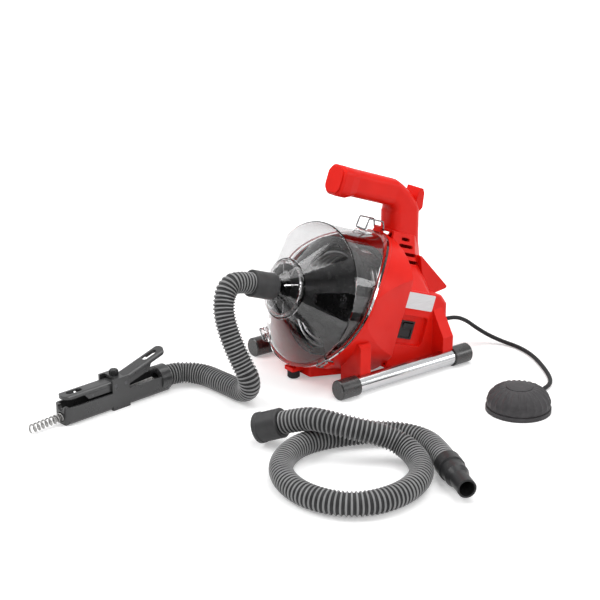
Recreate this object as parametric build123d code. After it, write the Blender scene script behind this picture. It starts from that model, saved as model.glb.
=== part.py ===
from build123d import *
import math
import os

# Driving dimensions, in millimetres and degrees. X is to the machine's right, seen from its nose,
# Y runs from the nose to the back, and Z is up. The machine stands at X = 0, Y = 0 on the floor.

# Layout: the middle of the machine, feeder and foot switch on the floor, which becomes the origin
LAYOUT_X = 107.3
LAYOUT_Y = -196.4

# Fits
PUSH_FIT = 0.05         # radial room of a pushed-on part
RUN_FIT = 0.05          # radial room of a running shaft
CLEAR = 0.4             # room between parts of different bodies

# Legs
LEG_SPREAD = 215.0      # between the two tube axes
LEG_LENGTH = 256.5      # over the end caps
TUBE_OD = 25.4
TUBE_WALL = 1.5
CAP_OD = 30.0
CAP_LENGTH = 34.0
CAP_END = 3.0
CAP_FLAT = 0.5          # depth of the flat that a cap stands on
CAP_CHAMFER = 1.5

# Drum axis and clear cover
TILT = 19.25            # the drum's nose points up by this much
RIM_Y = -104.0          # centre of the cover's front rim
RIM_Z = 131.3
COVER_R = 108.0
COVER_WALL = 2.5
CONE_R = 46.0           # small end of the cover's front cone
CONE_RISE = 44.0        # how far the cone stands ahead of the rim
FLANGE_R = 112.0
FLANGE = 5.0            # thickness of the joint flanges, along the axis
SPLIT_V = 20.0          # height above the axis where the slanted joint starts to curve back
SPLIT_H = -36.0         # place of that point along the axis
SPLIT_LEAN = 13.6       # lean of the straight stretch of the joint
SPLIT_R = 138.0         # radius of its curved stretch

# Drum housing
HOUSING_R = 110.0
HOUSING_WALL = 4.0
HOUSING_BACK = -118.0   # back of the housing along the axis
HOUSING_REAR_HALF = 92.0
FLANK_START = -31.0     # where the flanks begin to draw in
BELLY_Z = 6.0           # the housing's flat underside above the floor
TRAY_TOP = 27.0
TRAY_NOSE_Y = -117.0
TRAY_NOSE_HALF = 26.0
TRAY_HALF = 47.0
FRONT_FOOT_Y = -76.0
FOOT_THICK = 20.0
FOOT_TOP = 74.0
BUMPER_Y = -128.0       # the rubber stop under the nose
BUMPER_R = 9.6
BUMPER_TOP = 13.0
BUMPER_STEM = 4.5
LIP_HALF = 10.0         # red lip that holds the stop
LIP_FRONT_Y = -137.5
LIP_THICK = 6.0

# Nozzle dome, bushing and cuff
DOME_R = 44.0
DOME_WALL = 3.0
DOME_TOP = 66.0         # front of the dome along the axis
DOME_RIBS = 8
DOME_RIB = 1.6
DOME_RIB_INNER = 20.0   # the ribs run outwards from this radius
SPIGOT_OD = 31.0
SPIGOT_LENGTH = 26.0
CUFF_OD = 40.0
CUFF_LENGTH = 42.0

# Cable drum
DRUM_R = 90.0
DRUM_WALL = 2.5
DRUM_FRONT = -40.0
DRUM_BACK = -90.0
DRUM_NOSE_R = 16.0
DRUM_NOSE_END = 52.0
DRUM_HUB_R = 32.0       # small end of the drum's front cone
DRUM_HUB_H = 30.0
DRUM_SLOTS = 10         # openings in the drum's wall
DRUM_SLOT_BACK = -82.0
DRUM_SLOT_LENGTH = 34.0
DRUM_SLOT_WIDTH = 30.0
WINDOWS = 5
WINDOW_INNER = 42.0     # windows in the cone run between these radii
WINDOW_OUTER = 80.0
WINDOW_INNER_HALF = 8.0
WINDOW_OUTER_HALF = 24.0
COIL_R = 79.0           # middle of the outer cable turns
COIL_TURNS = 4
CABLE_OD = 8.5
COIL_PITCH = 9.3
CORE_INNER_R = 62.0

# Drive
SHAFT_R = 7.5
BEARING_OD = 32.0
BEARING_WIDTH = 9.0
MODULE = 1.5
GEAR_TEETH = 64
PINION_TEETH = 16
GEAR_WIDTH = 12.0
GEAR_BACK = -134.0
PINION_ANGLE = 205.0    # where the pinion meshes, seen along the axis from the nose
BACKLASH = 0.35
PLATE_FRONT = -137.0
PLATE_THICK = 5.0
MOTOR_R = 27.0
MOTOR_LENGTH = 40.0
MOTOR_SHAFT_R = 4.0

# Rear housing halves
BODY_HALF = 86.0
BODY_REAR = 106.5
BODY_BOTTOM = 16.0
ROOF_V = 43.0           # roof of the motor compartment above the drum axis, parallel to it
BODY_WALL = 3.5
BODY_ROUND = 9.0
ROOF_ROUND = 3.0
ROOF_SLOPE = 10.0       # the roof's sloping rear edge, measured to the front and down
SHOULDER_STEP = 0.8     # ledge where the shoulder starts to narrow
SHOULDER_SKIRT = 8.0    # how deep the shoulder stands in the compartment
SHOULDER_ROUND = 7.0
WAIST_V = 74.0          # the sloping shoulder turns into the steep column here
WAIST_HALF = 36.0
WAIST_REAR_HALF = 20.0
COLUMN_V = 119.0        # top of the column
COLUMN_LEDGE = 1.6      # ledge of the column around the neck
COLUMN_REAR_HALF = 12.0
SHOULDER_SIDE_Y = 68.0  # where the chamfered rear corners start
WAIST_SIDE_Y = 80.0
COLUMN_SIDE_Y = 89.0
FOOT_REAR_HALF = 40.0
NECK_Y = 77.3
NECK_WIDTH = 41.0
NECK_DEPTH = 56.0
NECK_ROUND = 13.0
BEND_R = 33.5           # middle line of the bend from the grip into the neck
BEND_DRAW = 6.0         # how far the outside of the bend is drawn in at its middle
GRIP_HEIGHT = 41.5
GRIP_WIDTH = 37.0
GRIP_END_HEIGHT = 46.0
GRIP_END_WIDTH = 41.0
GRIP_END_LENGTH = 18.0
GRIP_END_ROUND = 3.0
GRIP_TAPER = 14.0       # from the thicker end to the grip
GRIP_V = 175.0          # middle of the grip above the drum axis
GRIP_END_V = 173.2
GRIP_FRONT = 5.0        # front end of the grip along the axis
HANDLE_WALL = 3.5
REAR_FOOT_Y = 84.0
REAR_FOOT_TOP = 90.0
REAR_FOOT_EDGE_Z = 50.0
REAR_FOOT_OVER = 4.0     # past the tube's middle
HOOK_HALF = 36.0
KNOB_HALF = 15.0
# Vents as height above the drum axis, front end along the axis, and length
VENTS = [(78.0, -137.0, 43.0), (88.5, -130.0, 41.0), (100.0, -131.0, 30.0), (110.0, -136.0, 17.0)]
VENT_HEIGHT = 5.0
BOSS_R = 5.5
SCREW_R = 2.0
SCREW_HEAD_R = 3.7
SCREW_HEAD = 3.0
SCREW_REACH = 9.0       # screw head seat to the left of the parting plane, and tip to its right

# Rocker switch and label
SWITCH_Y = 24.0
SWITCH_Z = 67.0
SWITCH_SIZE = 28.0
SWITCH_DEPTH = 22.0
POCKET_DEPTH = 6.0
POCKET_WIDTH = 56.0
POCKET_HEIGHT = 46.0
ROCKER_TILT = 9.0
LABEL_Y = 46.3
LABEL_Z = 108.6
LABEL_LENGTH = 60.0
LABEL_HEIGHT = 25.0
LABEL_THICK = 0.8

# Rear fittings
BARB_X = 62.0
BARB_Z = 57.0
AIR_HOSE_OD = 6.5
BARB_LENGTH = 12.0
GLAND_X = -52.0
GLAND_Z = 42.0
GLAND_R = 8.0
GLAND_BORE_R = 3.6
GLAND_ROOT_R = 4.4      # the wider bore through the housing's wall
GLAND_COLLAR = 4.0
GLAND_LENGTH = 18.0

# Latches: angle about the axis, length of the wire bail and how far it arches out
LATCHES = {"top": (90.0, 37.0, 13.0), "right": (-50.0, 17.0, 0.0), "left": (230.0, 17.0, 0.0)}
LATCH_SETBACK = 4.5     # lug pin behind the joint
BAIL_WIRE = 2.4
BAIL_WIDTH = 22.0
LUG_WIDTH = 15.0
LUG_LENGTH = 8.0
LUG_RISE = 5.5          # pin above the housing

# Cable feeder, in its own frame: x from heel to nose, z up
FEEDER_HEEL = (-84.0, -305.0)
FEEDER_HEADING = -82.6
FEEDER_LENGTH = 186.0
FEEDER_WIDTH = 34.0
FEEDER_HEIGHT = 27.0
FEEDER_WALL = 3.0
FEEDER_ROUND = 9.0
NOSE_NOTCH = (13.0, 7.5)    # width and depth of the notch in the nose's upper edge
HOSE_AXIS_Z = 18.5
TOWER_X = 92.0
TOWER_LENGTH = 30.0
TOWER_TOP = 47.5
LEVER_PIN_Z = 37.0
LEVER_PIN_STEP = 9.0    # each lever pin from the middle of the tower
LEVER_PIN_R = 2.5
LEVER_LENGTH = 84.0
LEVER_WIDTH = 26.0
LEVER_HEIGHT = 13.0
LEVER_WALL = 2.5
LEVER_ROOT = 6.0        # behind the pin
LEVER_DEEP = 44.0       # the deep part with the pin and the roller
LEVER_LIP = 5.2         # height of the shallow part past it
LEVER_SLOT = (26.0, 10.0)
REAR_LEVER_RAISE = 17.0
ROLLER_R = 5.0
ROLLER_WIDTH = 12.0
KNOB_R = 7.0

# Drain cable in the feeder
CABLE_HEEL_Z = 19.0     # cable axis at the heel, sloping down to the tip
CABLE_TIP_X = 239.0
CABLE_TIP_Z = 8.0
WIRE_OD = 2.4
TIP_TURNS = 8
TIP_R = 5.3
TIP_PITCH = 6.5
BODY_TURNS = 14
BODY_COIL_R = 4.4
BODY_PITCH = 3.7

# Hoses
HOSE_OD = 32.0
HOSE_ROOT_OD = 27.5
HOSE_BORE = 24.0
FEED_HOSE_RIBS = 64
GUIDE_HOSE_RIBS = 120
GUIDE_CUFF_OD = 43.0
GUIDE_CUFF_LENGTH = 38.0
GUIDE_CUFF_BORE = 36.0
GUIDE_CUFF_SOCKET = 22.0
FITTING_OD = 36.0
FITTING_LENGTH = 78.0
SPOUT_OD = 25.0
SPOUT_BORE = 20.0
HOSE_INSERT = 14.0      # how far a hose goes into its cuff, socket or fitting

# Foot switch
FOOT_X = 290.0
FOOT_Y = 58.0
FOOT_R = 47.0
FOOT_HEIGHT = 38.0
FOOT_BASE = 6.0
FOOT_RIBS = 24
FOOT_CROWN_R = 19.0
FOOT_TRAVEL = 9.0
NIPPLE_ANGLE = 108.0
NIPPLE_LENGTH = 14.0

# Routes of the hoses, as points on their middle lines
FEED_HOSE_ROUTE = [
    (0, -231, 175.5), (1, -256, 166), (9, -267, 142), (21, -267, 117), (34, -262, 93), (46, -255, 70),
    (56, -249, 49), (50.5, -244, 28), (31, -243, 16.3), (4, -244.5, 16.2), (-22, -247.5, 16.2),
    (-52, -251, 16.6), (-75, -265, 17.4), (-86.3, -287.15, 18.5),
]
GUIDE_LOOP_CENTRE = (318.0, -270.0)
GUIDE_LOOP_TURN = 53.13  # the loop's own axes, turned on the floor
GUIDE_HOSE_ROUTE = [
    (-91, 97, 35.5), (-62, 83, 49), (-36, 67, 52), (-4, 56, 47.5), (28, 54, 41), (52, 55, 32), (72, 46, 24),
    (86, 20, 18), (89, -12, 16.2), (77, -48, 16.2), (50, -80, 16.2), (14, -99, 16.2), (-25, -98, 16.2),
    (-62, -76, 16.2), (-85, -42, 16.2), (-94, -4, 16.2), (-88, 33, 16.2), (-70, 66, 16.2),
    (-40, 88, 16.2), (-4, 101, 16.2), (34, 110, 16.2), (70, 105, 16.2), (98, 86, 16.2),
    (112, 58, 17.0), (122.5, 10, 18.2),
]
AIR_HOSE_ROUTE = [
    (62, 140, 57), (62, 166, 46), (65, 187, 29), (74, 207, 14), (92, 222, 5), (118, 228, 3.4),
    (146, 224, 3.4), (174, 214, 3.4), (202, 199.5, 3.4), (228, 184, 3.4), (249, 168, 3.6),
    (262, 150, 4.5),
]

# Values worked out from the sizes above
LEG_X = LEG_SPREAD / 2
LEG_Z = CAP_OD / 2 - CAP_FLAT
SIN_TILT = math.sin(math.radians(TILT))
COS_TILT = math.cos(math.radians(TILT))
DRUM = Plane(origin=(0, RIM_Y, RIM_Z), x_dir=(1, 0, 0), z_dir=(0, -COS_TILT, SIN_TILT)).location
FEEDER = Pos(FEEDER_HEEL[0], FEEDER_HEEL[1], 0) * Rot(0, 0, FEEDER_HEADING)
FAR = 4 * COVER_R
GEAR_PITCH_R = MODULE * GEAR_TEETH / 2
PINION_PITCH_R = MODULE * PINION_TEETH / 2
PINION_X = (GEAR_PITCH_R + PINION_PITCH_R) * math.cos(math.radians(PINION_ANGLE))
PINION_V = (GEAR_PITCH_R + PINION_PITCH_R) * math.sin(math.radians(PINION_ANGLE))
BEND_Y = NECK_Y - BEND_R
NECK_Z = RIM_Z + (GRIP_V - BEND_R - (BEND_Y - RIM_Y) * SIN_TILT) / COS_TILT
BEND_H = (NECK_Z - RIM_Z) * SIN_TILT - (BEND_Y - RIM_Y) * COS_TILT
BODY_KNEE_Z = RIM_Z + (ROOF_V - (BODY_REAR - RIM_Y) * SIN_TILT) / COS_TILT


# Helpers

def save(name, *solids):
    """Writes one node, of one or more separate solids, in the frame of the layout."""
    os.makedirs("parts", exist_ok=True)
    moved = [Pos(-LAYOUT_X, -LAYOUT_Y, 0) * solid for solid in solids]
    export_step(moved[0] if len(moved) == 1 else Compound(children=moved), f"parts/{name}.step")


def outline_face(points, rounding=0):
    """A flat face with straight edges, its corners rounded by one radius."""
    face = make_face(Polyline(*points, close=True))
    return fillet(face.vertices(), rounding) if rounding else face


def turned(*outline):
    """A solid turned about local Z from its (radius, height) outline."""
    return revolve(Plane.XZ * outline_face(outline), Axis.Z)


def ring(outer, inner, low, high):
    """A plain ring or sleeve about local Z."""
    return turned((inner, low), (outer, low), (outer, high), (inner, high))


def disc(radius, low, high):
    """A plain disc or rod about local Z."""
    return turned((0, low), (radius, low), (radius, high), (0, high))


def side_slab(points, half_width, rounding=0):
    """A slab drawn in side view as (y, z) points, half_width thick to each side of X = 0."""
    return extrude(Plane.YZ * outline_face(points, rounding), amount=half_width, both=True)


def axis_place(along, above):
    """Where a point in the drum axis's side view lies in the machine's (y, z) side view."""
    return (RIM_Y - along * COS_TILT + above * SIN_TILT, RIM_Z + along * SIN_TILT + above * COS_TILT)


def above_floor(height):
    """All space above a level."""
    return Pos(0, 0, height + FAR) * Box(2 * FAR, 2 * FAR, 2 * FAR)


def gear(teeth, width, bore_r):
    """A spur gear about local Z with involute flanks, its first tooth on local X."""
    pitch_r = MODULE * teeth / 2
    base_r = pitch_r * math.cos(math.radians(20))
    tip_r = pitch_r + 0.9 * MODULE
    root_r = pitch_r - 1.2 * MODULE
    half_tooth = (math.pi * MODULE / 2 - BACKLASH) / 2 / pitch_r

    def involute(radius):
        angle = math.acos(min(1, base_r / radius))
        return math.tan(angle) - angle

    low_r = max(base_r, root_r + 0.1)
    steps = [low_r + (tip_r - low_r) * i / 3 for i in range(4)]
    points = []
    for tooth in range(teeth):
        middle = 2 * math.pi * tooth / teeth
        flank = [(r, half_tooth + involute(pitch_r) - involute(r)) for r in steps]
        root_angle = math.pi / teeth - (math.pi / teeth - flank[0][1]) * 0.8
        side = [(root_r, root_angle)] + flank
        for r, angle in [(r, -a) for r, a in side] + side[::-1]:
            points.append((r * math.cos(middle + angle), r * math.sin(middle + angle)))
    blank = extrude(outline_face(points), amount=width)
    return blank - disc(bore_r, -1, width + 1)


def biarc(start, start_way, end, end_way):
    """Two arcs that join two points and leave and reach them along the given ways."""
    gap = end - start
    both = start_way + end_way
    a = 2 * start_way.dot(end_way) - 2
    b = -2 * gap.dot(both)
    reach = (-b - math.sqrt(b * b - 4 * a * gap.dot(gap))) / (2 * a)
    middle = (start + start_way * reach + end - end_way * reach) * 0.5
    middle_way = ((end - end_way * reach) - (start + start_way * reach)).normalized()
    return [
        Edge.make_tangent_arc(start, start_way, middle),
        Edge.make_tangent_arc(middle, middle_way, end),
    ]


def coil(radius, pitch, turns, wire_od, lead=0.0):
    """A wire wound about local Z from z = 0, with straight leads of one wire diameter or more."""
    lead = max(lead, wire_od)
    climb = pitch / (2 * math.pi * radius)

    def place(quarter):
        angle = quarter * math.pi / 2
        point = Vector(radius * math.cos(angle), radius * math.sin(angle), pitch * quarter / 4)
        way = Vector(-math.sin(angle), math.cos(angle), climb).normalized()
        return point, way

    stations = [place(quarter) for quarter in range(4 * turns + 1)]
    first, first_way = stations[0]
    last, last_way = stations[-1]
    edges = [Edge.make_line(first - first_way * lead, first)]
    for (p, p_way), (q, q_way) in zip(stations, stations[1:]):
        edges += biarc(p, p_way, q, q_way)
    edges.append(Edge.make_line(last, last + last_way * lead))
    path = Wire(edges)
    section = Plane(origin=path @ 0, z_dir=first_way) * Circle(wire_od / 2)
    samples = [path @ (i / (40 * turns)) for i in range(40 * turns + 1)]
    turn_step = int(0.6 * 40)
    least = min(
        (a - b).length for i, a in enumerate(samples) for b in samples[i + turn_step:]
    ) - wire_od
    print(f"coil of {turns} turns: least gap to itself {least:.2f} mm")
    return sweep(section, path=path)


def bend_radii(points):
    """The largest tangent arc that each corner of a route has room for."""
    radii = []
    for a, b, c in zip(points, points[1:], points[2:]):
        before = Vector(*b) - Vector(*a)
        after = Vector(*c) - Vector(*b)
        half_turn = math.radians(before.get_angle(after)) / 2
        radii.append(0.45 * min(before.length, after.length) / math.tan(half_turn))
    return radii


def route_path(name, points):
    """A hose's middle line: straight runs joined by tangent arcs."""
    radii = bend_radii(points)
    path = FilletPolyline(*points, radius=radii)
    print(f"{name}: {path.length:.0f} mm long, bend radii", [round(r) for r in radii])
    return path


def self_gap(name, path, diameter):
    """Prints how near a hose comes to itself, apart from its neighbouring stretch."""
    steps = int(path.length / 6)
    skip = int(3.2 * diameter / 6)
    places = [path @ (i / steps) for i in range(steps + 1)]
    gaps = [(a - b).length - diameter for i, a in enumerate(places) for b in places[i + skip:]]
    print(f"{name}: least gap to itself {min(gaps):.2f} mm")


def ribbed_hose(name, points, ribs):
    """A hose with round ribs and a bore, four circles to a rib."""
    path = route_path(name, points)
    self_gap(name, path, HOSE_OD)
    root_r = HOSE_ROOT_OD / 2
    crest_r = HOSE_OD / 2
    shape = [(0.0, root_r), (0.3, root_r), (0.45, crest_r), (0.85, crest_r)]
    steady = None

    def plane_at(share):
        nonlocal steady
        way = path % share
        if steady is None:
            steady = way.cross(Vector(0.3, 0.2, 0.93)).normalized()
        steady = (steady - way * way.dot(steady)).normalized()
        return Plane(origin=path @ share, x_dir=steady, z_dir=way)

    outer = []
    bore = []
    for rib in range(ribs):
        for part, radius in shape:
            place = plane_at((rib + part) / ribs)
            outer.append((place * Circle(radius)).face().outer_wire())
            if part in (0.0, 0.45):
                bore.append((place * Circle(HOSE_BORE / 2)).face().outer_wire())
    end = plane_at(1)
    outer.append((end * Circle(root_r)).face().outer_wire())
    bore.append((end * Circle(HOSE_BORE / 2)).face().outer_wire())
    hose = Solid.make_loft(outer, ruled=True) - Solid.make_loft(bore, ruled=True)
    return hose


def plain_hose(name, points, diameter):
    """A smooth round cord or hose along a route."""
    path = route_path(name, points)
    section = Plane(origin=path @ 0, z_dir=path % 0) * Circle(diameter / 2)
    tube = sweep(section, path=path)
    expected = math.pi * diameter ** 2 / 4 * path.length
    print(f"{name}: volume {tube.volume:.0f}, section times length {expected:.0f}")
    return tube


# Legs

def leg_tube(side):
    """A chromed tube that runs from front to back."""
    half = LEG_LENGTH / 2 - CAP_END - PUSH_FIT
    tube = ring(TUBE_OD / 2, TUBE_OD / 2 - TUBE_WALL, -half, half)
    return Pos(side * LEG_X, 0, LEG_Z) * Rot(-90, 0, 0) * tube


def leg_cap(side, end):
    """A rubber cap pushed on one end of a tube, flat where it stands on the floor."""
    bore = TUBE_OD / 2 + PUSH_FIT
    radius = CAP_OD / 2
    face = LEG_LENGTH / 2
    mouth = face - CAP_LENGTH
    cap = turned(
        (bore, mouth), (radius, mouth), (radius, face - CAP_CHAMFER), (radius - CAP_CHAMFER, face),
        (0, face), (0, face - CAP_END), (bore, face - CAP_END),
    )
    return Pos(side * LEG_X, 0, LEG_Z) * Rot(-90 * end, 0, 0) * cap & above_floor(0)


def leg_room():
    """Space that the two tubes take in the feet."""
    rod = disc(TUBE_OD / 2 + PUSH_FIT, -LEG_LENGTH / 2, LEG_LENGTH / 2)
    return [Pos(side * LEG_X, 0, LEG_Z) * Rot(-90, 0, 0) * rod for side in (-1, 1)]


# Drum housing and clear cover, about the drum axis

def cover_zone(shift):
    """All space ahead of the slanted joint of cover and housing, moved along the axis."""
    lean = math.radians(SPLIT_LEAN)
    way = Vector(math.cos(lean), -math.sin(lean))
    knee = Vector(SPLIT_V, SPLIT_H + shift)
    foot = knee - way * FAR
    curve = JernArc(knee, way, SPLIT_R, SPLIT_LEAN - 90)
    top = curve @ 1
    border = Line(foot, knee) + curve + Polyline(top, (top.X, FAR), (foot.X, FAR), foot)
    return extrude(Plane.YZ * make_face(border), amount=FAR, both=True)


def joint_place(above):
    """Where the slanted joint lies along the axis at a height above it."""
    lean = math.radians(SPLIT_LEAN)
    if above <= SPLIT_V:
        return SPLIT_H + (SPLIT_V - above) * math.tan(lean)
    centre_v = SPLIT_V - SPLIT_R * math.sin(lean)
    centre_h = SPLIT_H - SPLIT_R * math.cos(lean)
    return centre_h + math.sqrt(SPLIT_R ** 2 - (above - centre_v) ** 2)


def housing_form(inset, back):
    """The housing's barrel with flanks that draw in towards the back, inset from its outside."""
    draw = (HOUSING_R - HOUSING_REAR_HALF) / (FLANK_START - HOUSING_BACK)
    rear_half = HOUSING_REAR_HALF - inset
    nose_half = rear_half + draw * (COVER_R - HOUSING_BACK)
    flanks = [
        (-rear_half, HOUSING_BACK), (rear_half, HOUSING_BACK), (nose_half, COVER_R), (-nose_half, COVER_R),
    ]
    wedge = extrude(Plane.XZ * outline_face(flanks), amount=FAR, both=True)
    return disc(HOUSING_R - inset, back, COVER_R) & wedge


def latch_place(angle):
    """The pin of a latch lug: local X out from the axis, local Y along the pin, local Z forward."""
    joint = joint_place(COVER_R * math.sin(math.radians(angle)))
    return DRUM * Rot(0, 0, angle) * Pos(HOUSING_R + LUG_RISE, 0, joint - LATCH_SETBACK)


def latch_lug(angle):
    """A block on the housing that carries the ends of a wire bail."""
    foot = LUG_RISE + HOUSING_WALL / 2
    head = LUG_RISE / 2 + 1
    block = Pos((head - foot) / 2, 0, 0) * Box(head + foot, LUG_WIDTH, LUG_LENGTH)
    hole = Rot(90, 0, 0) * disc(BAIL_WIRE / 2 + RUN_FIT, -LUG_WIDTH, LUG_WIDTH)
    return latch_place(angle) * (block - hole)


def lug_room(angle):
    """Space around a lug that the cover and the neck leave free."""
    foot = LUG_RISE + HOUSING_WALL / 2 + CLEAR
    head = LUG_RISE / 2 + 1 + CLEAR
    room = Box(head + foot, LUG_WIDTH + 2 * CLEAR, LUG_LENGTH + 2 * CLEAR)
    return latch_place(angle) * Pos((head - foot) / 2, 0, 0) * room


def latch_keeper(angle, bail_length):
    """A ridge on the cover that a wire bail drops behind."""
    front = bail_length - BAIL_WIRE / 2 - CLEAR
    drop = LUG_RISE + HOUSING_R - COVER_R + COVER_WALL / 2
    ridge = Pos(-drop / 2 + 1.5, 0, front - 2.5) * Box(drop + 3, BAIL_WIDTH - 2 * BAIL_WIRE, 5)
    return latch_place(angle) * ridge


def latch_bail(angle, bail_length, rise):
    """A bent wire, pinned in its lug, that reaches forward over the keeper in a flat or arched line."""
    arm = BAIL_WIDTH / 2
    stub = LUG_WIDTH / 2 - 4
    bend = BAIL_WIRE * 1.2
    near = [(0, stub, 0), (0, arm, 0)]
    if rise:
        near = near + [(rise, arm, BAIL_WIDTH / 4), (rise, arm, bail_length - BAIL_WIRE)]
    near = near + [(-rise / 3, arm, bail_length)]
    far = [(x, -y, z) for x, y, z in near]
    path = FilletPolyline(*far, *reversed(near), radius=bend)
    section = Plane(origin=path @ 0, z_dir=path % 0) * Circle(BAIL_WIRE / 2)
    return latch_place(angle) * sweep(section, path=path)


def front_foot(side):
    """A pillar of the housing that sits on a leg tube."""
    edge = side * LEG_X
    inner = side * HOUSING_R * 0.56
    outline = [
        (inner, BELLY_Z), (side * (LEG_X - CAP_OD / 2), LEG_Z), (edge, LEG_Z), (edge, FOOT_TOP - 5),
        (edge - side * 4, FOOT_TOP), (inner, FOOT_TOP),
    ]
    return Pos(0, FRONT_FOOT_Y, 0) * extrude(Plane.XZ * outline_face(outline), FOOT_THICK / 2, both=True)


def post_places():
    """Stand-offs that carry the motor plate, as (x, above the axis)."""
    reach = GEAR_PITCH_R + MODULE + BOSS_R
    return [
        (0.42 * reach, 0.95 * reach), (0.54 * reach, -0.85 * reach), (-0.3 * reach, -0.98 * reach),
        (PINION_X - 20, PINION_V - 28), (PINION_X - 10, PINION_V + 30),
    ]


def plate_screw_room():
    """Holes for the screws of the motor plate, through the plate and into the stand-offs."""
    low = PLATE_FRONT - PLATE_THICK
    hole = disc(SCREW_R + PUSH_FIT, low - 1, low + SCREW_REACH + 1)
    return [DRUM * Pos(*place, 0) * hole for place in post_places()]


def drum_housing():
    """The red scoop around the drum, with its tray, front feet, back wall and latch lugs."""
    wall = HOUSING_WALL
    barrel = DRUM * housing_form(0, HOUSING_BACK)
    flange_zone = cover_zone(-FLANGE) - cover_zone(0)
    flange = DRUM * (ring(FLANGE_R, HOUSING_R - wall, HOUSING_BACK, COVER_R) & flange_zone)
    tray_wide = FRONT_FOOT_Y + FOOT_THICK / 2
    tray_rear = FRONT_FOOT_Y + FOOT_THICK
    tray_outline = [
        (-TRAY_NOSE_HALF, TRAY_NOSE_Y), (TRAY_NOSE_HALF, TRAY_NOSE_Y), (TRAY_HALF, tray_wide),
        (TRAY_HALF, tray_rear), (-TRAY_HALF, tray_rear), (-TRAY_HALF, tray_wide),
    ]
    tray = Pos(0, 0, BELLY_Z) * extrude(outline_face(tray_outline, rounding=4), TRAY_TOP - BELLY_Z)
    body = (barrel + flange) & above_floor(BELLY_Z)
    body = body + tray + nose_lip() + front_foot(-1) + front_foot(1)
    cavity = DRUM * housing_form(wall, HOUSING_BACK + wall) & above_floor(BELLY_Z + wall)
    ahead = DRUM * (disc(FLANGE_R + CLEAR, HOUSING_BACK, FAR) & cover_zone(0))
    body = body - cavity - ahead
    for angle, _, _ in LATCHES.values():
        body = body + latch_lug(angle)
    seat = BEARING_OD / 2
    boss = ring(seat + wall, seat, HOUSING_BACK, HOUSING_BACK + BEARING_WIDTH)
    posts = [
        Pos(x, v, 0) * disc(BOSS_R, PLATE_FRONT, HOUSING_BACK) for x, v in post_places()
    ]
    seat_room = disc(seat + PUSH_FIT, HOUSING_BACK - 1, HOUSING_BACK + BEARING_WIDTH + 1)
    body = body + DRUM * boss - DRUM * seat_room
    for post in posts:
        body = body + DRUM * post
    for hole in plate_screw_room():
        body = body - hole
    for rod in leg_room():
        body = body - rod
    return body - bumper_room()


def bumper_room():
    """Pocket in the lip for the rubber bumper's stem."""
    return Pos(0, BUMPER_Y, 0) * disc(BUMPER_STEM + PUSH_FIT, 0, BUMPER_TOP + LIP_THICK - 1)


def nose_lip():
    """The lip ahead of the tray that holds the rubber bumper, thicker where it meets the barrel."""
    outline = [
        (TRAY_NOSE_Y + 7, BUMPER_TOP), (LIP_FRONT_Y, BUMPER_TOP), (LIP_FRONT_Y, BUMPER_TOP + LIP_THICK),
        (BUMPER_Y - 3, BUMPER_TOP + LIP_THICK), (BUMPER_Y + 4, BUMPER_TOP + 2 * LIP_THICK),
        (TRAY_NOSE_Y + 7, BUMPER_TOP + 2 * LIP_THICK),
    ]
    return side_slab(outline, LIP_HALF)


def nose_bumper():
    """A rubber stop under the nose."""
    stem_end = BUMPER_TOP + LIP_THICK - 2
    bumper = turned(
        (0, 1), (BUMPER_R - 1.5, 1), (BUMPER_R, 2.5), (BUMPER_R, BUMPER_TOP), (BUMPER_STEM, BUMPER_TOP),
        (BUMPER_STEM, stem_end), (0, stem_end),
    )
    return Pos(0, BUMPER_Y, 0) * bumper


def front_cover():
    """The clear cover: a skirt that ends at the slanted joint, and a cone towards the nozzle."""
    wall = COVER_WALL
    mouth = DOME_R - 8
    form = turned(
        (COVER_R - wall, HOUSING_BACK), (COVER_R, HOUSING_BACK), (COVER_R, -2), (COVER_R - 2, 0),
        (CONE_R, CONE_RISE), (mouth, CONE_RISE), (mouth, CONE_RISE - wall), (CONE_R - 1, CONE_RISE - wall),
        (COVER_R - wall, -wall),
    )
    flange_zone = cover_zone(CLEAR) - cover_zone(CLEAR + FLANGE)
    flange = ring(FLANGE_R, COVER_R - wall, HOUSING_BACK, COVER_R) & flange_zone
    cover = DRUM * ((form & cover_zone(CLEAR)) + flange)
    keepers = [latch_keeper(angle, length) for angle, length, _ in LATCHES.values()]
    for keeper in keepers:
        cover = cover + keeper
    for angle, _, _ in LATCHES.values():
        cover = cover - lug_room(angle)
    return cover


def nozzle_dome():
    """The clear dome on the cover's front, with the spigot that the hose cuff fits on."""
    wall = DOME_WALL
    base = CONE_RISE
    spigot = SPIGOT_OD / 2
    shoulder = base + 0.62 * (DOME_TOP - base)
    outside = [(DOME_R, base), (DOME_R - 2, base + 5), (0.72 * DOME_R, shoulder), (spigot + 4, DOME_TOP)]
    dome = turned(
        (DOME_R - wall, base), *outside, (spigot, DOME_TOP), (spigot, DOME_TOP + SPIGOT_LENGTH),
        (spigot - wall, DOME_TOP + SPIGOT_LENGTH), (spigot - wall, DOME_TOP - 2),
        (0.72 * DOME_R - wall, shoulder - wall), (DOME_R - wall - 2, base + 5 - wall / 2),
    )
    room = turned((0, base + wall / 2), (DOME_R - 2, base + wall / 2), *outside[1:], (0, DOME_TOP))
    reach = DOME_R - DOME_RIB_INNER
    blade = Pos(DOME_RIB_INNER + reach / 2, 0, DOME_TOP) * Box(reach, DOME_RIB, 2 * DOME_TOP)
    for rib in range(DOME_RIBS):
        dome = dome + (Rot(0, 0, 360 * (rib + 0.5) / DOME_RIBS) * blade & room)
    return DRUM * dome


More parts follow.
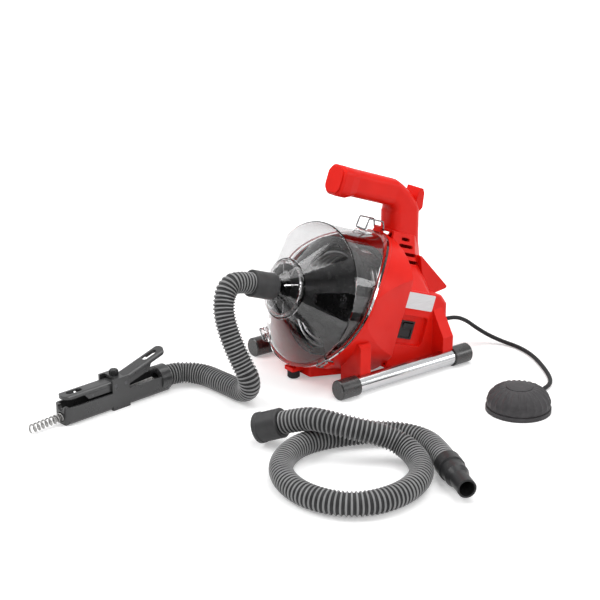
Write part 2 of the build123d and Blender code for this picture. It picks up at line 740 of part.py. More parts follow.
def nozzle_bushing():
    """A plain bearing in the cover's front opening that steadies the drum's nose."""
    bore = DRUM_NOSE_R + RUN_FIT
    edge = DOME_R - 8 - PUSH_FIT
    low = CONE_RISE - COVER_WALL
    return DRUM * turned(
        (bore, low - 6), (bore + 3, low - 6), (bore + 3, low), (edge, low), (edge, CONE_RISE),
        (bore, CONE_RISE),
    )


def hose_cuff():
    """The grey cuff that joins the feed hose to the nozzle's spigot."""
    low = DOME_TOP + CLEAR
    high = DOME_TOP + CUFF_LENGTH
    spigot = SPIGOT_OD / 2 + PUSH_FIT
    seat = high - HOSE_INSERT
    grip = HOSE_OD / 2 + PUSH_FIT
    radius = CUFF_OD / 2
    return DRUM * turned(
        (spigot, low), (radius - 1, low), (radius, low + 2), (radius, high - 1.5), (radius - 1.5, high),
        (grip, high), (grip, seat), (spigot, seat),
    )


# Cable drum and drive, about the drum axis

def drum_shell():
    """The drum's back plate, wall and hub."""
    bore = SHAFT_R + PUSH_FIT
    hub = 2 * SHAFT_R
    hub_end = DRUM_BACK + 2 * SHAFT_R
    inside = DRUM_R - DRUM_WALL
    shell = turned(
        (bore, DRUM_BACK), (DRUM_R, DRUM_BACK), (DRUM_R, DRUM_FRONT), (inside, DRUM_FRONT),
        (inside, DRUM_BACK + DRUM_WALL), (hub, DRUM_BACK + DRUM_WALL), (hub, hub_end), (bore, hub_end),
    )
    opening = extrude(Plane.YZ * RectangleRounded(DRUM_SLOT_WIDTH, DRUM_SLOT_LENGTH, 3), amount=4 * DRUM_WALL)
    opening = Pos(inside - DRUM_WALL, 0, DRUM_SLOT_BACK + DRUM_SLOT_LENGTH / 2) * opening
    for slot in range(DRUM_SLOTS):
        shell = shell - Rot(0, 0, 360 * slot / DRUM_SLOTS) * opening
    return DRUM * shell


def drum_front():
    """The drum's front cone with its windows and its hollow nose."""
    wall = DRUM_WALL
    form = turned(
        (DRUM_R - 2 * wall, DRUM_FRONT), (DRUM_R, DRUM_FRONT), (DRUM_R, DRUM_FRONT + 2 * wall),
        (DRUM_HUB_R, DRUM_HUB_H), (DRUM_NOSE_R, DRUM_HUB_H), (DRUM_NOSE_R, DRUM_NOSE_END),
        (DRUM_NOSE_R - wall, DRUM_NOSE_END), (DRUM_NOSE_R - wall, DRUM_HUB_H - wall),
        (DRUM_HUB_R - wall, DRUM_HUB_H - wall), (DRUM_R - 2 * wall, DRUM_FRONT + wall),
    )
    corners = [
        (WINDOW_INNER, -WINDOW_INNER_HALF), (WINDOW_OUTER, -WINDOW_OUTER_HALF),
        (WINDOW_OUTER, WINDOW_OUTER_HALF), (WINDOW_INNER, WINDOW_INNER_HALF),
    ]
    window = extrude(outline_face(corners, rounding=0.8 * WINDOW_INNER_HALF), FAR / 2, both=True)
    for spoke in range(WINDOWS):
        form = form - Rot(0, 0, 360 * spoke / WINDOWS) * window
    return DRUM * form


def cable_coil():
    """The outer layer of the cable that is wound in the drum."""
    start = DRUM_BACK + DRUM_WALL + CABLE_OD / 2 + CLEAR
    return DRUM * Pos(0, 0, start) * coil(COIL_R, COIL_PITCH, COIL_TURNS, CABLE_OD)


def cable_core():
    """The layers of cable under the outer one, as one plain ring."""
    outer = COIL_R - CABLE_OD / 2 - CLEAR
    return DRUM * ring(outer, CORE_INNER_R, DRUM_BACK + DRUM_WALL + CLEAR, DRUM_FRONT - 2)


def drum_shaft():
    """The steel shaft through the back wall, gear and motor plate."""
    return DRUM * disc(SHAFT_R, PLATE_FRONT - BEARING_WIDTH - 1, DRUM_BACK + 2 * SHAFT_R)


def bearing(low):
    """A ball bearing, drawn as one ring."""
    inner = SHAFT_R + RUN_FIT
    outer = BEARING_OD / 2
    mid = (inner + outer) / 2
    groove = BEARING_WIDTH / 9
    high = low + BEARING_WIDTH
    return DRUM * turned(
        (inner, low), (mid - 1.5, low), (mid - 1.5, low + groove), (mid + 1.5, low + groove),
        (mid + 1.5, low), (outer, low), (outer, high), (mid + 1.5, high), (mid + 1.5, high - groove),
        (mid - 1.5, high - groove), (mid - 1.5, high), (inner, high),
    )


def drum_gear():
    """The large gear on the drum shaft, one tooth turned to the pinion."""
    wheel = gear(GEAR_TEETH, GEAR_WIDTH, SHAFT_R + PUSH_FIT)
    return DRUM * Pos(0, 0, GEAR_BACK) * Rot(0, 0, PINION_ANGLE) * wheel


def gear_clip():
    """The retaining ring behind the drum gear."""
    return DRUM * ring(SHAFT_R + 4, SHAFT_R + PUSH_FIT, GEAR_BACK - 1.6, GEAR_BACK - 0.1)


def motor_pinion():
    """The small gear on the motor's shaft, one gap turned to the drum gear."""
    turn = PINION_ANGLE + 180 + 180 / PINION_TEETH
    wheel = gear(PINION_TEETH, GEAR_WIDTH, MOTOR_SHAFT_R + PUSH_FIT)
    return DRUM * Pos(PINION_X, PINION_V, GEAR_BACK) * Rot(0, 0, turn) * wheel


def motor_shaft():
    """The motor's shaft."""
    back = PLATE_FRONT - PLATE_THICK - 0.6 * MOTOR_LENGTH
    return DRUM * Pos(PINION_X, PINION_V, 0) * disc(MOTOR_SHAFT_R, back, GEAR_BACK + GEAR_WIDTH)


def motor_can():
    """The motor's case, with the bore that its shaft turns in."""
    front = PLATE_FRONT - PLATE_THICK
    back = front - MOTOR_LENGTH
    bore = MOTOR_SHAFT_R + RUN_FIT
    can = turned(
        (0, back), (MOTOR_R - 2, back), (MOTOR_R, back + 2), (MOTOR_R, front - 2), (MOTOR_R - 2, front),
        (bore, front), (bore, front - 0.6 * MOTOR_LENGTH - 1), (0, front - 0.6 * MOTOR_LENGTH - 1),
    )
    return DRUM * Pos(PINION_X, PINION_V, 0) * can


def motor_plate():
    """The plate on the stand-offs that carries the motor and the shaft's rear bearing."""
    edge = BOSS_R + 1
    places = post_places()
    order = [places[0], places[4], places[3], places[2], places[1]]
    outline = [(x + math.copysign(edge, x), v + math.copysign(edge, v)) for x, v in order]
    plate = Pos(0, 0, PLATE_FRONT - PLATE_THICK) * extrude(outline_face(outline, rounding=4), PLATE_THICK)
    seat = BEARING_OD / 2 + PUSH_FIT
    boss = disc(seat + 3, PLATE_FRONT - BEARING_WIDTH, PLATE_FRONT)
    plate = plate + boss - disc(seat, PLATE_FRONT - BEARING_WIDTH - 1, PLATE_FRONT + 1)
    hole = disc(MOTOR_SHAFT_R + 2, PLATE_FRONT - PLATE_THICK - 1, PLATE_FRONT + 1)
    plate = DRUM * (plate - Pos(PINION_X, PINION_V, 0) * hole)
    for screw_hole in plate_screw_room():
        plate = plate - screw_hole
    return plate


# Rear housing halves with the handle

def front_line(height):
    """Where the housing's back wall lies at a height, in side view."""
    above = (height - RIM_Z - HOUSING_BACK * SIN_TILT) / COS_TILT
    return axis_place(HOUSING_BACK, above)[0]


def roof_line(y, drop=0):
    """Height of the compartment's roof in side view, or of a level below it."""
    return RIM_Z + (ROOF_V - drop - (y - RIM_Y) * SIN_TILT) / COS_TILT


def rear_block(inset, forward=0):
    """The motor compartment behind the drum housing, its roof parallel to the drum axis."""
    low = BODY_BOTTOM + inset
    rear = BODY_REAR - inset
    outline = [
        (front_line(low) - forward, low), axis_place(HOUSING_BACK + forward, ROOF_V - inset),
        (rear - ROOF_SLOPE, roof_line(rear - ROOF_SLOPE, inset)), (rear, roof_line(rear, inset) - ROOF_SLOPE),
        (rear, low),
    ]
    slab = side_slab(outline, BODY_HALF - inset)
    uprights = [
        edge for edge in slab.edges()
        if abs(abs(edge.center().X) - BODY_HALF + inset) < 0.01 and edge.center().Y > rear - 0.6 * ROOF_SLOPE
    ]
    block = fillet(uprights, BODY_ROUND - inset)
    if inset:
        return block
    roof_edges = [
        edge for edge in block.edges()
        if edge.center().Y > outline[1][0] + 1 and abs(edge.center().Z - roof_line(edge.center().Y)) < 0.01
    ]
    return fillet(roof_edges, ROOF_ROUND)


def shoulder_level(above, half, side_y, rear_half, rear_y, inset):
    """A level of the shoulder: a six-sided outline with chamfered rear corners, parallel to the roof."""
    front = HOUSING_BACK + SHOULDER_ROUND
    half = half - inset
    rear_half = rear_half - inset / 2
    rows = [(half, None), (half, side_y - inset / 2), (rear_half, rear_y - inset)]
    places = []
    for x, y in rows:
        along = front
        if y is not None:
            along = (above * SIN_TILT - y + RIM_Y) / COS_TILT
        places.append((x, along))
    outline = places + [(-x, along) for x, along in reversed(places)]
    level = outline_face(outline, rounding=SHOULDER_ROUND - inset)
    return DRUM * Pos(0, above, 0) * (Plane.XZ * level)


def shoulder(inset):
    """The stretch that narrows from the motor compartment to the column under the neck."""
    wide = BODY_HALF - ROOF_ROUND - SHOULDER_STEP
    rear = NECK_Y + NECK_DEPTH / 2 + SHOULDER_STEP
    column_half = NECK_WIDTH / 2 + COLUMN_LEDGE
    foot = (wide, SHOULDER_SIDE_Y, FOOT_REAR_HALF, rear - SHOULDER_STEP)
    levels = [
        (ROOF_V - SHOULDER_SKIRT, *foot), (ROOF_V, *foot),
        (WAIST_V, WAIST_HALF, WAIST_SIDE_Y, WAIST_REAR_HALF, rear - SHOULDER_STEP / 2),
        (COLUMN_V, column_half, COLUMN_SIDE_Y, COLUMN_REAR_HALF, rear),
    ]
    form = loft([shoulder_level(level[0] - inset, *level[1:], inset) for level in levels], ruled=True)
    return form - DRUM * disc(FAR, HOUSING_BACK, FAR) if not inset else form


def handle_section(place, dip, height, width, inset=0):
    """One cross-section of the handle, where its middle line dips by an angle towards the back."""
    angle = math.radians(dip)
    plane = Plane(origin=(0, *place), x_dir=(1, 0, 0), z_dir=(0, math.cos(angle), -math.sin(angle)))
    return plane * RectangleRounded(width - 2 * inset, height - 2 * inset, NECK_ROUND - inset)


def grip_front():
    """The front end of the handle, its edge drawn in."""
    place = axis_place(GRIP_FRONT, GRIP_END_V)
    return (place, TILT, GRIP_END_HEIGHT - 1.5 * GRIP_END_ROUND, GRIP_END_WIDTH - 1.5 * GRIP_END_ROUND)


def handle(inset):
    """The carry handle, from its thicker front end over the bend into the neck."""
    end = (TILT, GRIP_END_HEIGHT, GRIP_END_WIDTH)
    grip = (TILT, GRIP_HEIGHT, GRIP_WIDTH)
    stations = [
        grip_front(), (axis_place(GRIP_FRONT - GRIP_END_ROUND, GRIP_END_V), *end),
        (axis_place(GRIP_FRONT - GRIP_END_LENGTH, GRIP_END_V), *end),
        (axis_place(GRIP_FRONT - GRIP_END_LENGTH - GRIP_TAPER, GRIP_V), *grip),
        (axis_place(BEND_H, GRIP_V), *grip),
    ]
    straight = loft([handle_section(*station, inset) for station in stations], ruled=True)
    bend = []
    for share in (0, 0.25, 0.5, 0.75, 1):
        dip = TILT + share * (90 - TILT)
        angle = math.radians(dip)
        draw = 4 * BEND_DRAW * share * (1 - share)
        radius = BEND_R - draw / 2
        place = (BEND_Y + radius * math.sin(angle), NECK_Z + radius * math.cos(angle))
        height = GRIP_HEIGHT + share * (NECK_DEPTH - GRIP_HEIGHT) - draw
        width = GRIP_WIDTH + share * (NECK_WIDTH - GRIP_WIDTH)
        bend.append(handle_section(place, dip, height, width, inset))
    neck_low = RIM_Z + (COLUMN_V - SHOULDER_SKIRT - (NECK_Y + NECK_DEPTH / 2 - RIM_Y) * SIN_TILT) / COS_TILT
    neck = extrude(handle_section((NECK_Y, NECK_Z), 90, NECK_DEPTH, NECK_WIDTH, inset), NECK_Z - neck_low)
    return straight + loft(bend) + neck


def cord_knob():
    """The upper hook for the cord, on the back of the neck."""
    y = NECK_Y + NECK_DEPTH / 2
    z = NECK_Z
    outline = [
        (y - 12, z + 4), (y, z + 32), (y + 6, z + 30), (y + 8, z + 22), (y + 5, z), (y - 3.5, z - 6),
        (y - 12, z - 14),
    ]
    return side_slab(outline, KNOB_HALF, rounding=2)


def cord_hook():
    """The lower hook for the cord, a wedge that flares out from the back."""
    y = BODY_REAR
    z = BODY_KNEE_Z
    outline = [
        (y - 16.5, z + 59), (y + 38, z - 0.3), (y + 41.8, z - 4.8), (y + 38.5, z - 7.5), (y + 11, z - 11),
        (y - 6, z - 11.8),
    ]
    return side_slab(outline, HOOK_HALF, rounding=1.5)


def rear_foot(side):
    """A gusset that sits on a leg tube."""
    edge = LEG_X + REAR_FOOT_OVER
    outline = [
        (BODY_HALF - 12, REAR_FOOT_TOP), (BODY_HALF, REAR_FOOT_TOP), (edge, REAR_FOOT_EDGE_Z), (edge, LEG_Z),
        (LEG_X - CAP_OD / 2, LEG_Z), (BODY_HALF, BODY_BOTTOM), (BODY_HALF - 12, BODY_BOTTOM),
    ]
    outline = [(side * x, z) for x, z in outline]
    return Pos(0, REAR_FOOT_Y, 0) * extrude(Plane.XZ * outline_face(outline), FOOT_THICK / 2, both=True)


def screw_places():
    """Screws that join the two halves, as (y, z)."""
    return [
        (BODY_REAR - 7, BODY_BOTTOM + 7), (0, BODY_BOTTOM + 7), (BODY_REAR - 17, BODY_KNEE_Z + 17),
        (NECK_Y, NECK_Z - 14), axis_place(GRIP_FRONT - GRIP_END_LENGTH - GRIP_TAPER, GRIP_V),
    ]


def across(place, solid):
    """Turns a solid made about local Z so that it lies along X at a (y, z) place."""
    return Pos(0, *place) * Rot(0, 90, 0) * solid


def switch_place():
    """The rocker switch on the right side: local X out, local Y back, turned with the drum axis."""
    return Pos(BODY_HALF, SWITCH_Y, SWITCH_Z) * Rot(-TILT, 0, 0)


def rear_halves():
    """The left and right half of the rear housing."""
    outer = rear_block(0) + shoulder(0) + handle(0)
    whole = outer + cord_knob() + cord_hook() + rear_foot(-1) + rear_foot(1)
    inside = rear_block(BODY_WALL, forward=10) + shoulder(BODY_WALL) + handle(HANDLE_WALL)
    whole = whole - inside
    for place in screw_places():
        whole = whole + (across(place, disc(BOSS_R, -BODY_HALF, BODY_HALF)) & outer)
    for place in screw_places():
        whole = whole - across(place, disc(SCREW_R, -SCREW_REACH - 1, SCREW_REACH + 1))
        whole = whole - across(place, disc(SCREW_HEAD_R + CLEAR, -FAR, -SCREW_REACH))
    flange_back = joint_place(FLANGE_R) - FLANGE - CLEAR
    whole = whole - DRUM * disc(HOUSING_R + CLEAR, HOUSING_BACK, FAR)
    whole = whole - DRUM * disc(FLANGE_R + CLEAR, flange_back, FAR)
    top_angle = LATCHES["top"][0]
    bail_room = Box(2 * BAIL_WIRE, BAIL_WIDTH + 2 * BAIL_WIRE, 2 * BAIL_WIRE)
    whole = whole - lug_room(top_angle) - latch_place(top_angle) * bail_room
    for above, front, length in VENTS:
        slot = Pos(above, front - length / 2) * Rot(0, 0, 90) * SlotOverall(length, VENT_HEIGHT)
        whole = whole - DRUM * extrude(Plane.YZ * slot, amount=BODY_HALF, both=True)
    for rod in leg_room():
        whole = whole - rod
    whole = whole - barb_place() * disc(3.0 + PUSH_FIT, -2 * BODY_WALL, BODY_WALL)
    whole = whole - gland_place() * disc(GLAND_R - 2 + PUSH_FIT, -2 * BODY_WALL, BODY_WALL)
    pocket_middle = POCKET_WIDTH / 2 - SWITCH_SIZE / 2 - 6
    pan = Box(POCKET_DEPTH + BODY_WALL, POCKET_WIDTH + 2 * BODY_WALL, POCKET_HEIGHT + 2 * BODY_WALL)
    room = extrude(Plane.YZ * RectangleRounded(POCKET_WIDTH, POCKET_HEIGHT, 6), amount=POCKET_DEPTH + 1)
    hole = Box(4 * BODY_WALL, SWITCH_SIZE - 3 + 2 * PUSH_FIT, SWITCH_SIZE - 3 + 2 * PUSH_FIT)
    pan_place = switch_place() * Pos(-(POCKET_DEPTH + BODY_WALL) / 2, pocket_middle, 0)
    whole = whole + (pan_place * pan & rear_block(0))
    whole = whole - switch_place() * Pos(-POCKET_DEPTH, pocket_middle, 0) * room
    whole = whole - switch_place() * Pos(-POCKET_DEPTH - BODY_WALL, 0, 0) * hole
    left = whole & Pos(-FAR, 0, 0) * Box(2 * FAR, 3 * FAR, 3 * FAR)
    right = whole & Pos(FAR, 0, 0) * Box(2 * FAR, 3 * FAR, 3 * FAR)
    return left, right


def housing_screw(place):
    """A screw from the left half into the right half."""
    head = disc(SCREW_HEAD_R, -SCREW_REACH - SCREW_HEAD, -SCREW_REACH)
    socket = disc(SCREW_HEAD_R / 2, -SCREW_REACH - SCREW_HEAD - 1, -SCREW_REACH - SCREW_HEAD / 2)
    return across(place, head + disc(SCREW_R - PUSH_FIT, -SCREW_REACH, SCREW_REACH) - socket)


def handle_end_plug():
    """The oval plug in the front end of the handle, left plain."""
    section = grip_front()
    inner = extrude(handle_section(*section, HANDLE_WALL + PUSH_FIT), amount=2 * HANDLE_WALL)
    cap = extrude(handle_section(*section, 1.5), amount=-2)
    return inner + cap


# Rocker switch, label and rear fittings

def rocker_bezel():
    """The switch's frame and case."""
    seat = -POCKET_DEPTH
    case = SWITCH_SIZE - 3
    body = Pos(seat + 1.25, 0, 0) * Box(2.5, SWITCH_SIZE, SWITCH_SIZE)
    body = body + Pos(seat - SWITCH_DEPTH / 2, 0, 0) * Box(SWITCH_DEPTH, case, case)
    room = Pos(seat - 4, 0, 0) * Box(21, 20 + 2 * CLEAR, 24)
    pivot = Pos(seat - 1, 0, 0) * Rot(90, 0, 0) * disc(1.5 + RUN_FIT, -case / 2 + 0.4, case / 2 - 0.4)
    return switch_place() * (body - room - pivot)


def rocker():
    """The rocker, pressed to one side."""
    profile = [(-9, -7), (0.5, -10.8), (4.2, -11), (2.2, 0), (4.2, 11), (0.5, 10.8), (-9, 7)]
    key = extrude(Plane.XZ * outline_face(profile), amount=10, both=True)
    key = key + Rot(90, 0, 0) * disc(1.5, -11.7, 11.7)
    return switch_place() * Pos(-POCKET_DEPTH - 1, 0, 0) * Rot(0, ROCKER_TILT, 0) * key


def label_plate():
    """The plate for the label, left bare."""
    face = RectangleRounded(LABEL_LENGTH, LABEL_HEIGHT, 2)
    return Pos(BODY_HALF, LABEL_Y, LABEL_Z) * Rot(-TILT, 0, 0) * extrude(Plane.YZ * face, amount=LABEL_THICK)


def barb_place():
    """The air hose barb: local Z runs out of the back wall."""
    return Pos(BARB_X, BODY_REAR, BARB_Z) * Rot(-90, 0, 0)


def hose_barb():
    """The barb through the back wall that the air hose is pushed on."""
    bore = 1.2
    inside = -2 * BODY_WALL
    return barb_place() * turned(
        (bore, inside), (3, inside), (3, 0), (6, 0), (6, 3), (AIR_HOSE_OD / 2 + 0.8, 4.5),
        (AIR_HOSE_OD / 2 + 0.8, BARB_LENGTH), (bore, BARB_LENGTH),
    )


def air_switch():
    """The air-pressure switch behind the barb."""
    depth = 20
    case = Pos(0, 0, -2 * BODY_WALL - depth / 2) * Box(26, 22, depth)
    tabs = [Pos(side * 6, 0, -2 * BODY_WALL - depth - 3) * Box(0.8, 6, 6) for side in (-1, 1)]
    return barb_place() * (case + tabs[0] + tabs[1])


def gland_place():
    """The mains cord's gland: local Z runs out of the back wall."""
    return Pos(GLAND_X, BODY_REAR, GLAND_Z) * Rot(-90, 0, 0)


def cord_gland():
    """The gland where the mains cord goes in."""
    inside = -BODY_WALL - 3
    return gland_place() * turned(
        (GLAND_ROOT_R, inside), (GLAND_R - 2, inside), (GLAND_R - 2, 0), (GLAND_R, 0), (GLAND_R, GLAND_COLLAR),
        (GLAND_R - 3, GLAND_LENGTH), (GLAND_BORE_R, GLAND_LENGTH), (GLAND_BORE_R, GLAND_COLLAR),
        (GLAND_ROOT_R, GLAND_COLLAR),
    )


# Cable feeder, in its own frame

def trough_face(half, low, high, rounding):
    """An end-on view of the feeder's trough, rounded below."""
    face = outline_face([(-half, low), (half, low), (half, high), (-half, high)])
    return fillet(face.vertices().group_by(Axis.Y)[0], rounding)


def cable_place():
    """The drain cable's axis through the feeder: local Z from heel to nose, sloping down."""
    slope = math.degrees(math.atan2(CABLE_HEEL_Z - CABLE_TIP_Z, CABLE_TIP_X))
    return FEEDER * Pos(0, 0, CABLE_HEEL_Z) * Rot(0, 90 + slope, 0)


def feeder_body():
    """The feeder's trough with its heel socket, tower and nose."""
    wall = FEEDER_WALL
    half = FEEDER_WIDTH / 2
    heel = HOSE_INSERT + wall
    plan = Pos(FEEDER_LENGTH / 2, 0, 0) * RectangleRounded(FEEDER_LENGTH, FEEDER_WIDTH, FEEDER_ROUND)
    trough = extrude(Plane.YZ * trough_face(half, 0, FEEDER_HEIGHT, FEEDER_ROUND), amount=FEEDER_LENGTH)
    body = trough & extrude(plan, amount=FAR)
    collar = Pos(0, 0, HOSE_AXIS_Z) * Rot(0, 90, 0) * disc(HOSE_OD / 2 + 1.2 * wall, 0, heel)
    body = body + (collar & above_floor(0))
    body = body + Pos(TOWER_X, 0, TOWER_TOP / 2) * Box(TOWER_LENGTH, FEEDER_WIDTH, TOWER_TOP)
    room_face = trough_face(half - wall, wall, FEEDER_HEIGHT + 2, FEEDER_ROUND - wall)
    body = body - Pos(heel, 0, 0) * extrude(Plane.YZ * room_face, amount=FEEDER_LENGTH - heel - 2 * wall)
    gap = LEVER_WIDTH + 2 * CLEAR
    gap_top = TOWER_TOP - 1.2 * wall
    slot_low = FEEDER_HEIGHT - wall
    body = body - Pos(TOWER_X, 0, (slot_low + gap_top) / 2) * Box(2 * TOWER_LENGTH, gap, gap_top - slot_low)
    for side in (-1, 1):
        open_end = Pos(TOWER_X + side * TOWER_LENGTH / 2, 0, TOWER_TOP)
        body = body - open_end * Box(TOWER_LENGTH - 14, gap, 4 * wall)
        pin = Pos(TOWER_X + side * LEVER_PIN_STEP, 0, LEVER_PIN_Z) * Rot(90, 0, 0)
        body = body - pin * disc(LEVER_PIN_R + PUSH_FIT, -FEEDER_WIDTH, FEEDER_WIDTH)
    body = body - Pos(TOWER_X, 0, 0) * disc(KNOB_R / 2 + RUN_FIT, gap_top - 1, TOWER_TOP + 1)
    socket = disc(HOSE_OD / 2 + 0.3, -1, HOSE_INSERT) + disc(HOSE_BORE / 2 - 2, 0, heel + 1)
    body = body - Pos(0, 0, HOSE_AXIS_Z) * Rot(0, 90, 0) * socket
    notch = Pos(FEEDER_LENGTH, 0, FEEDER_HEIGHT) * Rot(0, 90, 0) * SlotOverall(2 * NOSE_NOTCH[1], NOSE_NOTCH[0])
    body = body - extrude(notch, FEEDER_ROUND, both=True)
    nose_hole = disc(TIP_R + WIRE_OD / 2 + 0.7, FEEDER_LENGTH - 6 * wall, FEEDER_LENGTH + wall)
    return FEEDER * body - cable_place() * nose_hole


def lever():
    """A pivoting lever: a channel that is open below, its pin at the origin, and a shallow paddle past its roller."""
    half = LEVER_WIDTH / 2
    rise = 0.42 * LEVER_HEIGHT
    drop = rise - LEVER_HEIGHT
    root = LEVER_ROOT
    outer = Rot(180, 0, 0) * extrude(Plane.YZ * trough_face(half, -rise, -drop, 6), amount=LEVER_LENGTH + root)
    room_face = trough_face(half - LEVER_WALL, LEVER_WALL - rise, 1 - drop, 2.5)
    room = Rot(180, 0, 0) * extrude(Plane.YZ * room_face, amount=FAR)
    plan = Pos(LEVER_LENGTH / 2 - half, 0, 0) * SlotOverall(LEVER_LENGTH + LEVER_WIDTH, LEVER_WIDTH)
    body = (Pos(-root, 0, 0) * outer) & extrude(plan, amount=FAR, both=True)
    end_wall = half + LEVER_LENGTH / 2
    room_end = Pos(-end_wall, 0, 0) * Box(3 * LEVER_LENGTH - LEVER_WIDTH, FAR, FAR)
    body = body - (Pos(-root - 1, 0, 0) * room & room_end)
    lip = rise - LEVER_LIP
    below = [(LEVER_DEEP, drop - 1), (LEVER_DEEP + lip - drop, lip), (FAR, lip), (FAR, drop - 1)]
    body = body - extrude(Plane.XZ * outline_face(below), LEVER_WIDTH, both=True)
    slot_x = LEVER_LENGTH - half - LEVER_SLOT[0] / 2 + LEVER_WALL
    body = body - extrude(Pos(slot_x, 0, 0) * SlotOverall(*LEVER_SLOT), amount=FAR)
    body = body - Rot(90, 0, 0) * disc(LEVER_PIN_R + RUN_FIT, -half - 1, half + 1)
    return body - roller_place() * disc(1.5 + RUN_FIT, -half - 1, half + 1)


def roller_place():
    """Where the feed roller turns in its lever: local Z across the lever."""
    return Pos(0.45 * LEVER_LENGTH, 0, -0.3 * LEVER_HEIGHT) * Rot(90, 0, 0)


def feed_roller():
    """A roller with its axle, in the frame of its lever."""
    half = ROLLER_WIDTH / 2
    axle = LEVER_WIDTH / 2
    return roller_place() * turned(
        (0, -axle), (1.5, -axle), (1.5, -half), (ROLLER_R, -half), (ROLLER_R, -half + 3), (ROLLER_R - 1, -2),
        (ROLLER_R - 1, 2), (ROLLER_R, half - 3), (ROLLER_R, half), (1.5, half), (1.5, axle), (0, axle),
    )


def front_lever_place():
    """The front lever, closed over the nose."""
    return FEEDER * Pos(TOWER_X + LEVER_PIN_STEP, 0, LEVER_PIN_Z)


def rear_lever_place():
    """The rear lever, raised by its spring."""
    pin = Pos(TOWER_X - LEVER_PIN_STEP, 0, LEVER_PIN_Z)
    return FEEDER * pin * Rot(0, 0, 180) * Rot(0, -REAR_LEVER_RAISE, 0)


def lever_pin(side):
    """A pin across the tower."""
    place = Pos(TOWER_X + side * LEVER_PIN_STEP, 0, LEVER_PIN_Z) * Rot(90, 0, 0)
    return FEEDER * place * disc(LEVER_PIN_R, -FEEDER_WIDTH / 2, FEEDER_WIDTH / 2)


def feeder_knob():
    """The knob on top of the tower."""
    stem = KNOB_R / 2
    cap = turned(
        (0, -1.2 * FEEDER_WALL), (stem, -1.2 * FEEDER_WALL), (stem, 0.4), (KNOB_R, 0.4), (KNOB_R, 6),
        (KNOB_R - 1.5, 8), (0, 8),
    )
    for flute in range(6):
        cap = cap - Rot(0, 0, 60 * flute) * Pos(KNOB_R + 0.8, 0, 0) * disc(2, 1.5, 9)
    return FEEDER * Pos(TOWER_X, 0, TOWER_TOP) * cap


def cable_rod():
    """The cable's inner wire, thick enough to carry the coils around it."""
    start = HOSE_INSERT
    neck = FEEDER_LENGTH - 6
    collar = TIP_R - WIRE_OD / 2 - PUSH_FIT
    rod = BODY_COIL_R - WIRE_OD / 2 - PUSH_FIT
    end = neck + 16
    outline = [(0, start), (rod, start), (rod, neck), (collar, neck), (collar, end), (0, end)]
    return cable_place() * turned(*outline)


def feeder_cable():
    """The close coil of the cable behind the rear lever."""
    return cable_place() * Pos(0, 0, HOSE_INSERT + 8) * coil(BODY_COIL_R, BODY_PITCH, BODY_TURNS, WIRE_OD)


def cable_tip():
    """The open coil at the cable's free end."""
    start = CABLE_TIP_X - TIP_TURNS * TIP_PITCH - WIRE_OD
    return cable_place() * Pos(0, 0, start) * coil(TIP_R, TIP_PITCH, TIP_TURNS, WIRE_OD)


# Hoses

def feed_hose_points():
    """The feed hose's middle line, from inside its cuff to inside the feeder's heel."""
    start = axis_place(DOME_TOP + CUFF_LENGTH - HOSE_INSERT, 0)
    heel = FEEDER * Pos(HOSE_INSERT - CLEAR, 0, HOSE_AXIS_Z)
    return [(0, *start)] + FEED_HOSE_ROUTE + [tuple(heel.position)]


def guide_loop():
    """The loose guide hose's own axes on the floor."""
    return Pos(GUIDE_LOOP_CENTRE[0], GUIDE_LOOP_CENTRE[1], 0) * Rot(0, 0, GUIDE_LOOP_TURN)


def guide_hose_points():
    """The guide hose's middle line, from inside its cuff to inside its fitting."""
    points = [Vector((guide_loop() * Pos(*point)).position) for point in GUIDE_HOSE_ROUTE]
    into_cuff = (points[0] - points[1]).normalized()
    into_fitting = (points[-1] - points[-2]).normalized()
    first = points[0] + into_cuff * (HOSE_INSERT - CLEAR)
    last = points[-1] + into_fitting * (HOSE_INSERT - CLEAR)
    return [tuple(first)] + [tuple(point) for point in points[1:-1]] + [tuple(last)]


def end_place(near, beyond):
    """A place at the end of a hose: local Z runs on from the hose."""
    return Plane(origin=near, z_dir=beyond).location


def guide_cuff():
    """The wide cuff on the guide hose's raised end."""
    points = guide_hose_points()
    way = (Vector(*points[0]) - Vector(*points[1])).normalized()
    face = Vector(*points[0]) - way * (HOSE_INSERT - CLEAR)
    radius = GUIDE_CUFF_OD / 2
    grip = HOSE_OD / 2 + PUSH_FIT
    socket = GUIDE_CUFF_LENGTH - GUIDE_CUFF_SOCKET
    mouth = GUIDE_CUFF_BORE / 2
    end = GUIDE_CUFF_LENGTH
    return end_place(face, way) * turned(
        (grip, 0), (radius - 2.5, 0), (radius - 1, 1.5), (radius - 1, end - 6), (radius, end - 5),
        (radius, end), (mouth, end), (mouth, socket + 1), (HOSE_BORE / 2, socket + 1),
        (HOSE_BORE / 2, HOSE_INSERT), (grip, HOSE_INSERT),
    )


def guide_fitting():
    """The stepped fitting on the guide hose's other end, with its spout."""
    points = guide_hose_points()
    way = (Vector(*points[-1]) - Vector(*points[-2])).normalized()
    face = Vector(*points[-1]) - way * (HOSE_INSERT - CLEAR)
    radius = FITTING_OD / 2
    grip = HOSE_OD / 2 + PUSH_FIT
    step = 0.62 * FITTING_LENGTH
    spout = SPOUT_OD / 2
    bore = SPOUT_BORE / 2
    return end_place(face, way) * turned(
        (grip, 0), (radius, 0), (radius, 20), (radius - 2, 22), (radius - 2, step - 8), (spout, step),
        (spout, FITTING_LENGTH), (bore, FITTING_LENGTH), (bore, HOSE_INSERT), (grip, HOSE_INSERT),
    )


